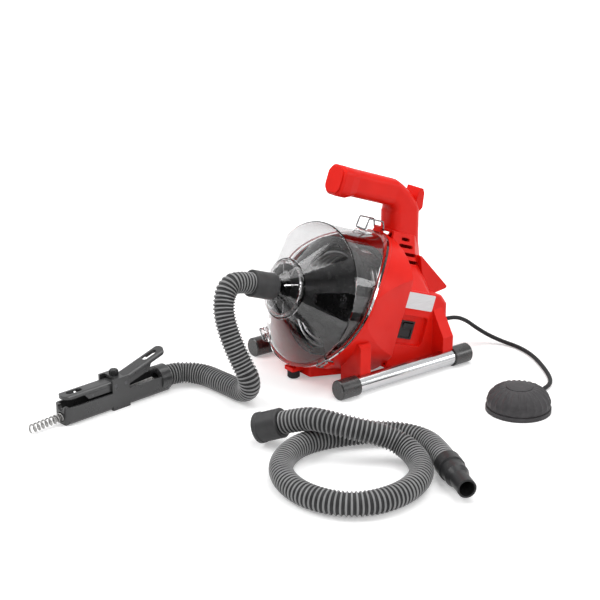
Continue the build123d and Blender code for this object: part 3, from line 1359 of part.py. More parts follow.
def air_hose_points():
    """The air hose's middle line, from the barb to the foot switch."""
    start = (barb_place() * Pos(0, 0, BARB_LENGTH + PUSH_FIT)).position
    end = (nipple_place() * Pos(0, 0, FOOT_R + NIPPLE_LENGTH + PUSH_FIT)).position
    before = (nipple_place() * Pos(0, 0, FOOT_R + 2 * NIPPLE_LENGTH)).position
    return [tuple(start)] + AIR_HOSE_ROUTE + [tuple(before), tuple(end)]


# Foot switch

def foot_place():
    """The foot switch on the floor."""
    return Pos(FOOT_X, FOOT_Y, 0)


def nipple_place():
    """The foot switch's air nipple: local Z runs out from the middle of the switch."""
    return foot_place() * Pos(0, 0, 0.6 * FOOT_BASE) * Rot(0, 0, NIPPLE_ANGLE) * Rot(0, 90, 0)


def foot_base():
    """The foot switch's base."""
    wall = 3
    inner = FOOT_R - wall
    base = turned((0, 0), (FOOT_R, 0), (FOOT_R, FOOT_BASE), (inner, FOOT_BASE), (inner, wall), (0, wall))
    hole = disc(AIR_HOSE_OD / 2 - 1 + PUSH_FIT, FOOT_R - 3 * wall, FOOT_R + 1)
    return foot_place() * base - nipple_place() * hole


def foot_nipple():
    """The nipple that the air hose is pushed on."""
    radius = AIR_HOSE_OD / 2
    return nipple_place() * turned(
        (1.2, FOOT_R - 4), (radius - 1, FOOT_R - 4), (radius - 1, FOOT_R + 0.5), (radius + 0.3, FOOT_R + 0.5),
        (radius + 0.3, FOOT_R + NIPPLE_LENGTH), (1.2, FOOT_R + NIPPLE_LENGTH),
    )


def dome_band(swell, thick):
    """The curved side of the foot switch, as a turned shell."""
    low = (FOOT_R - 1.5 + swell, FOOT_BASE)
    middle = (0.83 * FOOT_R + swell, 0.68 * FOOT_HEIGHT + swell)
    high = (FOOT_CROWN_R + PUSH_FIT, FOOT_HEIGHT - 2 + swell)
    outer = ThreePointArc(low, middle, high)
    low_in = (low[0] - thick, low[1])
    middle_in = (middle[0] - thick, middle[1] - thick)
    high_in = (high[0], high[1] - thick)
    inner = ThreePointArc(low_in, middle_in, high_in)
    border = outer + inner + Line(low, low_in) + Line(high, high_in)
    return revolve(Plane.XZ * make_face(border), Axis.Z)


def foot_bellows():
    """The rubber side of the foot switch with its radial ribs."""
    body = dome_band(0, 3)
    ridges = dome_band(1.4, 3)
    spread = math.radians(90 / FOOT_RIBS)
    reach = FOOT_R + 4
    tip = (reach * math.cos(spread), reach * math.sin(spread))
    fin = extrude(outline_face([(0, 0), (tip[0], -tip[1]), tip]), amount=FOOT_HEIGHT)
    core = disc(FOOT_CROWN_R + 4, 0, FAR / 4)
    for rib in range(FOOT_RIBS):
        body = body + (ridges & Rot(0, 0, 360 * rib / FOOT_RIBS) * fin - core)
    return foot_place() * body


def foot_crown():
    """The smooth middle of the foot switch that is stepped on."""
    top = FOOT_HEIGHT
    return foot_place() * turned(
        (0, top - 6), (FOOT_CROWN_R, top - 6), (FOOT_CROWN_R, top - 1.6), (0.8 * FOOT_CROWN_R, top - 0.6),
        (0.45 * FOOT_CROWN_R, top), (0, top),
    )


def plate_screw(place):
    """A screw that holds the motor plate on a stand-off."""
    low = PLATE_FRONT - PLATE_THICK
    shank = disc(SCREW_R, low, low + SCREW_REACH)
    return DRUM * Pos(*place, 0) * (disc(SCREW_HEAD_R, low - SCREW_HEAD, low) + shank)


# Nodes

save("leg_tube_left", leg_tube(-1))
save("leg_tube_right", leg_tube(1))
save("leg_caps", leg_cap(-1, -1), leg_cap(-1, 1), leg_cap(1, -1), leg_cap(1, 1))
save("drum_housing", drum_housing())
save("nose_bumper", nose_bumper())
save("front_cover", front_cover())
save("nozzle_dome", nozzle_dome())
save("nozzle_bushing", nozzle_bushing())
for latch, (latch_angle, latch_length, latch_rise) in LATCHES.items():
    save(f"latch_bail_{latch}", latch_bail(latch_angle, latch_length, latch_rise))

save("drum_shell", drum_shell())
save("drum_front", drum_front())
save("cable_winding", cable_coil())
save("cable_core", cable_core())
save("drum_shaft", drum_shaft())
save("drum_gear", drum_gear())
save("gear_clip", gear_clip())
save("shaft_bearings", bearing(HOUSING_BACK), bearing(PLATE_FRONT - BEARING_WIDTH))
save("motor_pinion", motor_pinion())
save("motor_shaft", motor_shaft())
save("motor_can", motor_can())
save("motor_plate", motor_plate())
save("plate_screws", *[plate_screw(place) for place in post_places()])

left_half, right_half = rear_halves()
save("left_housing", left_half)
save("right_housing", right_half)
save("housing_screws", *[housing_screw(place) for place in screw_places()])
save("handle_end_plug", handle_end_plug())
save("rocker_bezel", rocker_bezel())
save("rocker", rocker())
save("label_plate", label_plate())
save("hose_barb", hose_barb())
save("air_switch", air_switch())
save("cord_gland", cord_gland())

save("feeder_body", feeder_body())
save("feeder_front_lever", front_lever_place() * lever())
save("feeder_rear_lever", rear_lever_place() * lever())
save("feeder_front_roller", front_lever_place() * feed_roller())
save("feeder_rear_roller", rear_lever_place() * feed_roller())
save("feeder_lever_pins", lever_pin(-1), lever_pin(1))
save("feeder_knob", feeder_knob())
save("cable_rod", cable_rod())
save("feeder_cable", feeder_cable())
save("cable_tip", cable_tip())

save("feed_hose_cuff", hose_cuff())
save("feed_hose", ribbed_hose("feed hose", feed_hose_points(), FEED_HOSE_RIBS))
save("guide_hose_cuff", guide_cuff())
save("guide_hose_fitting", guide_fitting())
save("guide_hose", ribbed_hose("guide hose", guide_hose_points(), GUIDE_HOSE_RIBS))

save("foot_base", foot_base())
save("foot_bellows", foot_bellows())
save("foot_crown", foot_crown())
save("foot_nipple", foot_nipple())
save("air_hose", plain_hose("air hose", air_hose_points(), AIR_HOSE_OD))
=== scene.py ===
import math

import bpy
from mathutils import Matrix, Vector


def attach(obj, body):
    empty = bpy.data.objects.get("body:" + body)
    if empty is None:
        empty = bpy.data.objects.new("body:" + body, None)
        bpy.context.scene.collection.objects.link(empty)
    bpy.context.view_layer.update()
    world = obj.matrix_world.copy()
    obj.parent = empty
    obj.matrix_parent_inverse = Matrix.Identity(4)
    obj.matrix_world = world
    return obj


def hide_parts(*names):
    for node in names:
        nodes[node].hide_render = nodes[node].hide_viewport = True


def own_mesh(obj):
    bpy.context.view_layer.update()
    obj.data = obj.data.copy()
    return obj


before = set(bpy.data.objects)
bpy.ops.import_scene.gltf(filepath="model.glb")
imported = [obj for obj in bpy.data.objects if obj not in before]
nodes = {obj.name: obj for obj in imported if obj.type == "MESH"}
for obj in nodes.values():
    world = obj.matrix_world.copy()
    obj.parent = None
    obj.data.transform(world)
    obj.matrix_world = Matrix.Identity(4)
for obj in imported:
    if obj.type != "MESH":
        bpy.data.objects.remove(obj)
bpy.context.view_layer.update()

# Places of the machine's parts, in metres, with the floor at z = 0
DRUM_PLACE = Vector((-0.1073, 0.0924, 0.1313))
DRUM_TILT = math.radians(19.25)
FEEDER_HEEL = Vector((-0.1913, -0.1086, 0.0))
FEEDER_HEADING = math.radians(-82.6)
FOOT_SWITCH = Vector((0.1827, 0.2544, 0.0))

# The routes of the three hoses, from end to end
FEED_HOSE = [
    (-0.1073, 0.00366, 0.16229), (-0.1073, -0.0340, 0.1757), (-0.1041, -0.0546, 0.167),
    (-0.0948, -0.0656, 0.142), (-0.0836, -0.0668, 0.117), (-0.0720, -0.0639, 0.093),
    (-0.0613, -0.0586, 0.07), (-0.0513, -0.0526, 0.049), (-0.0568, -0.0476, 0.028),
    (-0.0763, -0.0466, 0.0163), (-0.1033, -0.0481, 0.0162), (-0.1293, -0.0511, 0.0162),
    (-0.1593, -0.0546, 0.0166), (-0.1823, -0.0686, 0.0174), (-0.1936, -0.09075, 0.0185),
    (-0.18955, -0.12209, 0.0185),
]
GUIDE_HOSE = [
    (0.06736, -0.09396, 0.03024), (0.1071, -0.0734, 0.049), (0.1355, -0.0622, 0.052),
    (0.1635, -0.0432, 0.0475), (0.1843, -0.0188, 0.041), (0.1979, 0.001, 0.032),
    (0.2171, 0.0116, 0.024), (0.2463, 0.0072, 0.018), (0.2737, -0.0096, 0.0162),
    (0.2953, -0.0408, 0.0162), (0.3047, -0.0816, 0.0162), (0.2983, -0.1218, 0.0162),
    (0.2741, -0.1524, 0.0162), (0.2343, -0.1688, 0.0162), (0.1933, -0.1668, 0.0162),
    (0.1575, -0.1512, 0.0162), (0.1315, -0.1242, 0.0162), (0.1159, -0.09, 0.0162),
    (0.1163, -0.0528, 0.0162), (0.1275, -0.0162, 0.0162), (0.1431, 0.0196, 0.0162),
    (0.1687, 0.0454, 0.0162), (0.2007, 0.0564, 0.0162), (0.2315, 0.0508, 0.017),
    (0.28857, 0.02476, 0.01853),
]
AIR_HOSE = [
    (-0.0453, 0.31495, 0.057), (-0.0453, 0.3364, 0.057), (-0.0453, 0.3624, 0.046),
    (-0.0423, 0.3834, 0.029), (-0.0333, 0.4034, 0.014), (-0.0153, 0.4184, 0.005),
    (0.0107, 0.4244, 0.0034), (0.0387, 0.4204, 0.0034), (0.0667, 0.4104, 0.0034),
    (0.0947, 0.3959, 0.0034), (0.1207, 0.3804, 0.0034), (0.1417, 0.3644, 0.0036),
    (0.1547, 0.3464, 0.0045), (0.15952, 0.32573, 0.0036), (0.16383, 0.31246, 0.0036),
]

# One rib of a hose, from groove to groove, as (share of the rib, radius in metres)
RIB = [
    (0.0, 0.01372), (0.22, 0.01372), (0.36, 0.0140), (0.44, 0.0149), (0.52, 0.01578),
    (0.64, 0.016), (0.76, 0.01578), (0.84, 0.0149), (0.92, 0.0140),
]
# The rings of a rib whose faces lie in the groove, where a near-black finish paints the shade
RIB_SHADE_RINGS = (0, 1, 2, len(RIB) - 2, len(RIB) - 1)
# Stations along the hose for each rib
RIB_STEPS = 50
FEED_HOSE_RIBS = 76
GUIDE_HOSE_RIBS = 148
HOSE_SIDES = 40
HOSE_CREASE = math.radians(50)
HOSE_BORE_RADIUS = 0.012
# The bore has one ring for so many of the outside
BORE_RING_EVERY = 5
# A direction off the hoses' first way, which sets where their seam runs
SEAM_GUIDE = Vector((0.3, 0.2, 0.93))
AIR_HOSE_RADIUS = 0.00325
AIR_HOSE_ROUNDING = 6
# Points of the smooth line for each place of a route
RIBBED_LINE_STEPS = 24
AIR_LINE_STEPS = 16
SMALLEST_STEP = 1e-9

# The cable wound in the drum; a start is a place along the drum's axis
DRUM_WIRE = 0.0085
DRUM_PITCH = 0.0093
DRUM_TURNS = 4
DRUM_WIRE_SIDES = 20
DRUM_TURN_STEPS = 120
OUTER_LAYER_RADIUS = 0.079
OUTER_LAYER_START = -0.0828
INNER_LAYER_RADIUS = 0.0696
INNER_LAYER_START = -0.0815

# The cable in the feeder; a start is a distance from the feeder's heel
FEEDER_WIRE = 0.0024
CABLE_REACH = 0.239
CABLE_HEEL_HEIGHT = 0.019
CABLE_TIP_HEIGHT = 0.008
CLOSE_COIL_RADIUS = 0.0044
CLOSE_COIL_PITCH = 0.0026
CLOSE_COIL_TURNS = 20
CLOSE_COIL_START = 0.022
TIP_COIL_RADIUS = 0.0053
TIP_COIL_PITCH = 0.0065
TIP_COIL_TURNS = 8
TIP_COIL_START = CABLE_REACH - TIP_COIL_TURNS * TIP_COIL_PITCH - FEEDER_WIRE
WIRE_CREASE = math.radians(60)

# The outline of the foot switch's rubber side, upward, as (radius, height)
FOOT_OUTLINE = [
    (0.0455, 0.006), (0.0453, 0.010), (0.0446, 0.0145), (0.0432, 0.019), (0.0408, 0.0235),
    (0.0374, 0.0275), (0.0330, 0.0308), (0.0282, 0.0335), (0.0236, 0.0352), (0.0198, 0.0359),
    (0.01905, 0.0359),
]
FOOT_RIBS = 24
# One rib, round the side, as shares of its rise
FOOT_RIB = (1.0, 0.6, 0.15, 0.0, 0.0, 0.0, 0.15, 0.6)
FOOT_RIB_RISE = 0.0022
# The radii between which the side is ribbed
FOOT_RIBS_INNER = 0.0225
FOOT_RIBS_OUTER = 0.0452
# The rise grows from this radius to its full size, over this distance
FOOT_FADE_RADIUS = 0.0200
FOOT_FADE = 0.010
# A rib's lean: its outward part reaches 1 at the first radius, its upward part 0 at the second
FOOT_OUTWARD_RADIUS = 0.047
FOOT_UPWARD_RADIUS = 0.055
FOOT_WALL = 0.0022
SAME_PLACE = 1e-5

# Most of a noise pattern's values lie between these two
NOISE_LOW = 0.3
NOISE_HIGH = 0.7

# The camera, with its target as shifts across and up from the origin of the part's source
CAMERA_AZIMUTH = math.radians(53.096)
CAMERA_ELEVATION = math.radians(19.59)
CAMERA_DISTANCE = 2.2
TARGET_RIGHT = -0.09269
TARGET_UP = 0.091155
SOURCE_SHIFT = Vector((0.1073, -0.1964, 0))
FOCAL_PIXELS = 1403.18
PICTURE_PIXELS = 600
SENSOR_MM = 36

# The stage: the floor, the world's light, and the direction of a dim room that shows in gloss
FLOOR_SIZE = 24
FLOOR_DROP = 0.0002
WORLD_LIGHT = 0.32
DIM_ROOM = Vector((0.19, -0.96, 0.20))
MIDDLE = (0, 0.05, 0.1)
# The lamps as (name, place, target, size in metres, power in watts)
LAMPS = [
    ("key_lamp", (-1.0, -1.6, 2.2), MIDDLE, 1.6, 42),
    ("fill_lamp", (2.2, -0.8, 1.6), MIDDLE, 1.8, 23),
    ("rim_lamp", (1.5, 1.9, 0.9), (-0.1, 0.15, 0.12), 0.7, 7),
    ("top_lamp", (0.2, 0.7, 2.5), MIDDLE, 1.8, 36),
]


# Materials

def set_sockets(node, sockets):
    """Sets input sockets, with an underscore for each space in a name."""
    for socket, value in sockets.items():
        node.inputs[socket.replace("_", " ")].default_value = value


def new_finish(name, **sockets):
    """A material with its Principled shader, some of its sockets set."""
    material = bpy.data.materials.new(name)
    material.use_nodes = True
    shader = material.node_tree.nodes["Principled BSDF"]
    set_sockets(shader, sockets)
    return material, material.node_tree, shader


def add_node(tree, kind, **sockets):
    """A node with some of its input sockets set."""
    node = tree.nodes.new(kind)
    set_sockets(node, sockets)
    return node


def surface_place(tree, stretch=(1, 1, 1)):
    """Places on the piece in metres, stretched for a pattern."""
    coordinates = tree.nodes.new("ShaderNodeTexCoord")
    mapping = add_node(tree, "ShaderNodeMapping", Scale=stretch)
    tree.links.new(coordinates.outputs["Object"], mapping.inputs["Vector"])
    return mapping.outputs["Vector"]


def mottle(tree, place, per_metre, detail=3.0):
    """Soft irregular patches, from 0 to 1."""
    node = add_node(tree, "ShaderNodeTexNoise", Scale=per_metre, Detail=detail, Roughness=0.55)
    tree.links.new(place, node.inputs["Vector"])
    return node.outputs["Fac"]


def spread(tree, value, low, high, start=NOISE_LOW, end=NOISE_HIGH):
    """A value drawn out between two limits."""
    node = add_node(
        tree, "ShaderNodeMapRange", From_Min=start, From_Max=end, To_Min=low, To_Max=high)
    tree.links.new(value, node.inputs["Value"])
    return node.outputs["Result"]


def tint(tree, shader, value, dark, light, start=NOISE_LOW, end=NOISE_HIGH):
    """Colours a finish from dark to light along a value."""
    node = tree.nodes.new("ShaderNodeValToRGB")
    stops = node.color_ramp.elements
    stops[0].position = start
    stops[0].color = (*dark, 1)
    stops[1].position = end
    stops[1].color = (*light, 1)
    tree.links.new(value, node.inputs["Fac"])
    tree.links.new(node.outputs["Color"], shader.inputs["Base Color"])


def roughen(tree, shader, value, low, high):
    """Varies a finish's roughness between two limits along a value."""
    tree.links.new(spread(tree, value, low, high), shader.inputs["Roughness"])


def relief(tree, shader, height, depth, strength, edge=0.0):
    """A bump of that depth in metres, over edges rounded by that radius."""
    bump = add_node(tree, "ShaderNodeBump", Strength=strength, Distance=depth)
    tree.links.new(height, bump.inputs["Height"])
    if edge:
        rounded = add_node(tree, "ShaderNodeBevel", Radius=edge)
        rounded.samples = 4
        tree.links.new(rounded.outputs["Normal"], bump.inputs["Normal"])
    tree.links.new(bump.outputs["Normal"], shader.inputs["Normal"])


def moulded_plastic(name, dark, light, rough, edge=0.0007, shine=0.25):
    """Moulded plastic: a fine grain, faint flow patches and uneven gloss."""
    material, tree, shader = new_finish(name, Specular_IOR_Level=shine)
    place = surface_place(tree)
    tint(tree, shader, mottle(tree, place, per_metre=14, detail=4.0), dark, light)
    wiped = mottle(tree, place, per_metre=60)
    roughen(tree, shader, wiped, low=rough - 0.05, high=rough + 0.06)
    grain = mottle(tree, place, per_metre=1500, detail=2.0)
    relief(tree, shader, grain, depth=0.00006, strength=0.35, edge=edge)
    return material


def clear_moulding():
    """The clear plastic of the cover, with faint polishing haze."""
    # The grey base colour is painted shade, standing in for the dark surroundings that the
    # cover reflects
    material, tree, shader = new_finish(
        "clear_moulding", Base_Color=(0.80, 0.795, 0.80, 1), Transmission_Weight=1.0, IOR=1.42)
    place = surface_place(tree)
    roughen(tree, shader, mottle(tree, place, per_metre=30), low=0.01, high=0.03)
    waves = mottle(tree, place, per_metre=22, detail=1.0)
    relief(tree, shader, waves, depth=0.0002, strength=0.05)
    return material


def hose_skin(name, dark, light, rough):
    """The satin skin of a grey hose."""
    material, tree, shader = new_finish(name, Specular_IOR_Level=0.22)
    place = surface_place(tree)
    tint(tree, shader, mottle(tree, place, per_metre=45, detail=4.0), dark, light)
    worn = mottle(tree, place, per_metre=160)
    roughen(tree, shader, worn, low=rough - 0.06, high=rough + 0.06)
    grain = mottle(tree, place, per_metre=1800, detail=2.0)
    relief(tree, shader, grain, depth=0.00005, strength=0.3)
    return material


def soft_rubber(name, dark, light, rough=0.62, shine=0.2):
    """Matt rubber with a pebbled skin and pale bloom."""
    material, tree, shader = new_finish(name, Specular_IOR_Level=shine)
    place = surface_place(tree)
    bloom = mottle(tree, place, per_metre=70, detail=5.0)
    tint(tree, shader, bloom, dark, light, start=0.35, end=0.75)
    roughen(tree, shader, bloom, low=rough - 0.06, high=rough + 0.08)
    pebbles = mottle(tree, place, per_metre=1100, detail=3.0)
    relief(tree, shader, pebbles, depth=0.00012, strength=0.5, edge=0.0006)
    return material


def plated_tube():
    """Bright chrome plate, drawn along the tubes."""
    material, tree, shader = new_finish("plated_tube", Metallic=1.0)
    streaks = mottle(tree, surface_place(tree, stretch=(900, 18, 900)), per_metre=1.0)
    tint(tree, shader, streaks, dark=(0.44, 0.45, 0.46), light=(0.58, 0.59, 0.60))
    roughen(tree, shader, streaks, low=0.10, high=0.20)
    relief(tree, shader, streaks, depth=0.00002, strength=0.2)
    return material


def bare_metal(name, dark, light, rough):
    """Machined or drawn metal with fine marks and a film of oil."""
    material, tree, shader = new_finish(name, Metallic=1.0)
    place = surface_place(tree)
    marks = mottle(tree, place, per_metre=220, detail=5.0)
    tint(tree, shader, marks, dark, light)
    roughen(tree, shader, marks, low=rough - 0.07, high=rough + 0.09)
    scratches = mottle(tree, place, per_metre=2400)
    relief(tree, shader, scratches, depth=0.00004, strength=0.3, edge=0.0003)
    return material


def bare_label():
    """A plain foil label with a faint brushed look."""
    material, tree, shader = new_finish("bare_label", Roughness=0.34)
    brushed = mottle(tree, surface_place(tree, stretch=(300, 40, 1600)), per_metre=1.0)
    tint(tree, shader, brushed, dark=(0.62, 0.62, 0.63), light=(0.74, 0.74, 0.75))
    relief(tree, shader, brushed, depth=0.00003, strength=0.2)
    return material


finishes = {
    "red_plastic": moulded_plastic(
        "red_moulding", dark=(0.68, 0.009, 0.004), light=(0.76, 0.014, 0.007), rough=0.36,
        edge=0.0014, shine=0.16),
    "clear_plastic": clear_moulding(),
    "black_plastic": moulded_plastic(
        "black_moulding", dark=(0.011, 0.011, 0.012), light=(0.019, 0.019, 0.020), rough=0.38),
    # The rib crests are lighter than the hose's own grey, painted light that pairs with the
    # painted shade of the grooves
    "grey_hose": hose_skin(
        "hose_ribs", dark=(0.21, 0.21, 0.212), light=(0.29, 0.29, 0.292), rough=0.36),
    "black_rubber": soft_rubber(
        "black_rubber_skin", dark=(0.016, 0.016, 0.017), light=(0.03, 0.03, 0.031)),
    "chrome_tube": plated_tube(),
    "steel": bare_metal(
        "turned_steel", dark=(0.30, 0.30, 0.31), light=(0.44, 0.44, 0.45), rough=0.26),
    "cable_steel": bare_metal(
        "cable_wire", dark=(0.22, 0.215, 0.21), light=(0.42, 0.415, 0.41), rough=0.36),
    "gear_plastic": moulded_plastic(
        "gear_moulding", dark=(0.70, 0.68, 0.61), light=(0.80, 0.78, 0.71), rough=0.45),
    "motor_paint": moulded_plastic(
        "motor_enamel", dark=(0.09, 0.09, 0.10), light=(0.13, 0.13, 0.14), rough=0.4),
    "label": bare_label(),
    "brass_fitting": bare_metal(
        "turned_brass", dark=(0.60, 0.44, 0.17), light=(0.74, 0.57, 0.26), rough=0.28),
}
# Painted shade: a near-black copy of the hose's plastic for the grooves and the bore, where
# shade falls
hose_painted_shade = hose_skin(
    "hose_grooves_painted_shade", dark=(0.024, 0.024, 0.025), light=(0.04, 0.04, 0.041), rough=0.5)
cuff_grey = hose_skin(
    "hose_cuffs", dark=(0.036, 0.036, 0.037), light=(0.052, 0.052, 0.053), rough=0.44)
feeder_grey = moulded_plastic(
    "feeder_moulding", dark=(0.024, 0.024, 0.025), light=(0.038, 0.038, 0.039), rough=0.30,
    shine=0.55)
cap_rubber = soft_rubber(
    "cap_rubber_skin", dark=(0.020, 0.0195, 0.0195), light=(0.032, 0.031, 0.031), rough=0.26,
    shine=0.6)
# Painted light: a paler copy of the cable steel for the cable wound in the drum, making up for
# the little light that reaches inside
painted_light_wound_steel = bare_metal(
    "wound_cable_wire_painted_light", dark=(0.55, 0.55, 0.55), light=(0.78, 0.78, 0.78), rough=0.42)
latch_wire = bare_metal(
    "latch_wire_steel", dark=(0.16, 0.16, 0.165), light=(0.27, 0.27, 0.275), rough=0.24)
fitting_black = hose_skin(
    "hose_fitting", dark=(0.018, 0.018, 0.019), light=(0.028, 0.028, 0.029), rough=0.36)
dark_steel = bare_metal(
    "blackened_steel", dark=(0.07, 0.07, 0.075), light=(0.13, 0.13, 0.135), rough=0.32)
drum_black = moulded_plastic(
    "drum_moulding", dark=(0.008, 0.008, 0.0085), light=(0.013, 0.013, 0.0135), rough=0.26,
    shine=0.3)
foot_rubber = soft_rubber(
    "foot_switch_rubber", dark=(0.045, 0.043, 0.045), light=(0.07, 0.067, 0.07), rough=0.55)


# Help for single pieces

def take_up(piece):
    """Selects one piece alone and makes it active."""
    bpy.ops.object.select_all(action="DESELECT")
    piece.select_set(True)
    bpy.context.view_layer.objects.active = piece


def face_outward(piece):
    """Takes up a piece and turns all its faces outward."""
    take_up(piece)
    bpy.ops.object.mode_set(mode="EDIT")
    bpy.ops.mesh.select_all(action="SELECT")
    bpy.ops.mesh.normals_make_consistent(inside=False)
    bpy.ops.object.mode_set(mode="OBJECT")


def coat(piece, finish):
    """Gives a piece one finish in place of any other."""
    piece.data.materials.clear()
    piece.data.materials.append(finish)


def wear(piece, slot, finish=None):
    """Gives a piece its slot's finish, or a finish of its own."""
    coat(piece, finish or finishes[slot])


# Hoses

def smooth_curve(name, route, steps):
    """A smooth curve along a route."""
    line = bpy.data.curves.new(name, "CURVE")
    line.dimensions = "3D"
    spline = line.splines.new("NURBS")
    spline.points.add(len(route) - 1)
    for point, place in zip(spline.points, route):
        point.co = (*place, 1)
    spline.order_u = 3
    spline.use_endpoint_u = True
    spline.resolution_u = steps
    curve = bpy.data.objects.new(name, line)
    bpy.context.scene.collection.objects.link(curve)
    return curve


def hose_line(route):
    """Points along the smooth line of a ribbed hose."""
    curve = smooth_curve("hose_line", route, RIBBED_LINE_STEPS)
    bpy.context.view_layer.update()
    seen = curve.evaluated_get(bpy.context.evaluated_depsgraph_get())
    mesh = bpy.data.meshes.new_from_object(seen)
    places = [vertex.co.copy() for vertex in mesh.vertices]
    bpy.data.objects.remove(curve)
    bpy.data.meshes.remove(mesh)
    return places


def along_line(places, count):
    """Stations at equal distances along a line, the way at each, and the line's length."""
    reach = [0.0]
    for near, far in zip(places, places[1:]):
        reach.append(reach[-1] + (far - near).length)
    stations = []
    span = 0
    for station in range(count + 1):
        wanted = reach[-1] * station / count
        while span < len(places) - 2 and reach[span + 1] < wanted:
            span += 1
        near, far = places[span], places[span + 1]
        share = (wanted - reach[span]) / max(reach[span + 1] - reach[span], SMALLEST_STEP)
        stations.append(near.lerp(far, share))
    ways = []
    for index in range(count + 1):
        before = stations[max(index - 1, 0)]
        after = stations[min(index + 1, count)]
        ways.append((after - before).normalized())
    return stations, ways, reach[-1]


def across_line(ways):
    """Two directions across a line at each station, carried along without twist."""
    right = ways[0].cross(SEAM_GUIDE).normalized()
    across = []
    for way in ways:
        right = (right - way * way.dot(right)).normalized()
        across.append((right, way.cross(right)))
    return across


def hose_rings(ribs):
    """The rings of a hose's outside, and of its bore on the way back, as (station, radius)."""
    outside = []
    for rib in range(ribs):
        for share, radius in RIB:
            outside.append((round((rib + share) * RIB_STEPS), radius))
    outside.append((ribs * RIB_STEPS, RIB[0][1]))
    ahead = [station for station, radius in outside[::BORE_RING_EVERY]]
    if ahead[-1] != outside[-1][0]:
        ahead.append(outside[-1][0])
    return outside, [(station, HOSE_BORE_RADIUS) for station in reversed(ahead)]


def ring_skin(name, rings, stations, across):
    """A skin over rings along a line, closed from the last ring to the first."""
    vertices = []
    for station, radius in rings:
        right, up = across[station]
        for side in range(HOSE_SIDES):
            angle = 2 * math.pi * side / HOSE_SIDES
            outward = right * math.cos(angle) + up * math.sin(angle)
            vertices.append(stations[station] + outward * radius)
    faces = []
    for ring in range(len(rings)):
        here = ring * HOSE_SIDES
        there = (ring + 1) % len(rings) * HOSE_SIDES
        for side in range(HOSE_SIDES):
            step = (side + 1) % HOSE_SIDES
            faces.append((here + side, here + step, there + step, there + side))
    mesh = bpy.data.meshes.new(name)
    mesh.from_pydata(vertices, [], faces)
    skin = bpy.data.objects.new(name, mesh)
    bpy.context.scene.collection.objects.link(skin)
    return skin


def ribbed_hose(name, route, ribs):
    """A ribbed hose with its bore, as one closed skin along a route."""
    places = hose_line(route)
    stations, ways, length = along_line(places, ribs * RIB_STEPS)
    outside, bore = hose_rings(ribs)
    hose = ring_skin(name, outside + bore, stations, across_line(ways))
    face_outward(hose)
    bpy.ops.object.shade_smooth_by_angle(angle=HOSE_CREASE)
    wear(hose, "grey_hose")
    hose.data.materials.append(hose_painted_shade)
    # The faces in the grooves and of the bore take the near-black finish as painted shade; the
    # crests keep the lighter one
    for face in hose.data.polygons:
        ring = face.index // HOSE_SIDES
        groove = ring >= len(outside) or ring % len(RIB) in RIB_SHADE_RINGS
        face.material_index = 1 if groove else 0
    return hose, places, length


def feed_hose():
    """The short hose from the nozzle to the cable feeder."""
    hose, places, length = ribbed_hose("feed_hose_skin", FEED_HOSE, FEED_HOSE_RIBS)
    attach(hose, "machine")
    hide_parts("feed_hose")


def guide_hose():
    """The loose hose that guides the cable into a drain."""
    hose, places, length = ribbed_hose("guide_hose_skin", GUIDE_HOSE, GUIDE_HOSE_RIBS)
    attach(hose, "guide_hose")
    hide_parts("guide_hose")


def air_hose():
    """The thin hose from the machine's back to the foot switch."""
    hose = smooth_curve("air_hose_skin", AIR_HOSE, AIR_LINE_STEPS)
    hose.data.bevel_depth = AIR_HOSE_RADIUS
    hose.data.bevel_resolution = AIR_HOSE_ROUNDING
    hose.data.use_fill_caps = True
    wear(hose, "black_rubber")
    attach(hose, "machine")
    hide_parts("air_hose")


# Wound pieces

def wound_wire(name, radius, wire, pitch, turns, place, sides=14, steps=40, finish=None):
    """A wire wound into a coil about its own axis, with closed ends."""
    bpy.ops.object.select_all(action="DESELECT")
    bpy.ops.mesh.primitive_circle_add(
        vertices=sides, radius=wire / 2, location=(radius, 0, 0), rotation=(math.pi / 2, 0, 0))
    coil = bpy.context.object
    coil.name = name
    bpy.ops.object.transform_apply(location=True, rotation=True, scale=True)
    winding = coil.modifiers.new("winding", "SCREW")
    winding.axis = "Z"
    winding.angle = 2 * math.pi
    winding.screw_offset = pitch
    winding.iterations = turns
    winding.steps = steps
    winding.render_steps = steps
    winding.use_normal_calculate = True
    bpy.ops.object.modifier_apply(modifier="winding")
    bpy.ops.object.mode_set(mode="EDIT")
    bpy.ops.mesh.select_all(action="SELECT")
    bpy.ops.mesh.remove_doubles(threshold=1e-6)
    bpy.ops.mesh.select_all(action="DESELECT")
    bpy.ops.mesh.select_non_manifold()
    bpy.ops.mesh.fill_holes(sides=sides)
    bpy.ops.object.mode_set(mode="OBJECT")
    face_outward(coil)
    coil.matrix_world = place
    bpy.ops.object.transform_apply(location=True, rotation=True, scale=True)
    bpy.ops.object.shade_smooth_by_angle(angle=WIRE_CREASE)
    wear(coil, "cable_steel", finish)
    return coil


def drum_place(along):
    """The drum's own axes at a place along its axis."""
    turn = Matrix.Rotation(math.pi / 2 - DRUM_TILT, 4, "X")
    return Matrix.Translation(DRUM_PLACE) @ turn @ Matrix.Translation((0, 0, along))


def cable_place(along):
    """The axes of the drain cable through the feeder, from heel to nose."""
    slope = math.atan2(CABLE_HEEL_HEIGHT - CABLE_TIP_HEIGHT, CABLE_REACH)
    heel = Matrix.Translation(FEEDER_HEEL) @ Matrix.Rotation(FEEDER_HEADING, 4, "Z")
    lift = Matrix.Translation((0, 0, CABLE_HEEL_HEIGHT))
    lie = lift @ Matrix.Rotation(math.pi / 2 + slope, 4, "Y")
    return heel @ lie @ Matrix.Translation((0, 0, along))


def drum_layer(name, radius, start):
    """One layer of drain cable wound in the drum."""
    return wound_wire(
        name, radius, DRUM_WIRE, DRUM_PITCH, DRUM_TURNS, drum_place(start),
        sides=DRUM_WIRE_SIDES, steps=DRUM_TURN_STEPS, finish=painted_light_wound_steel)


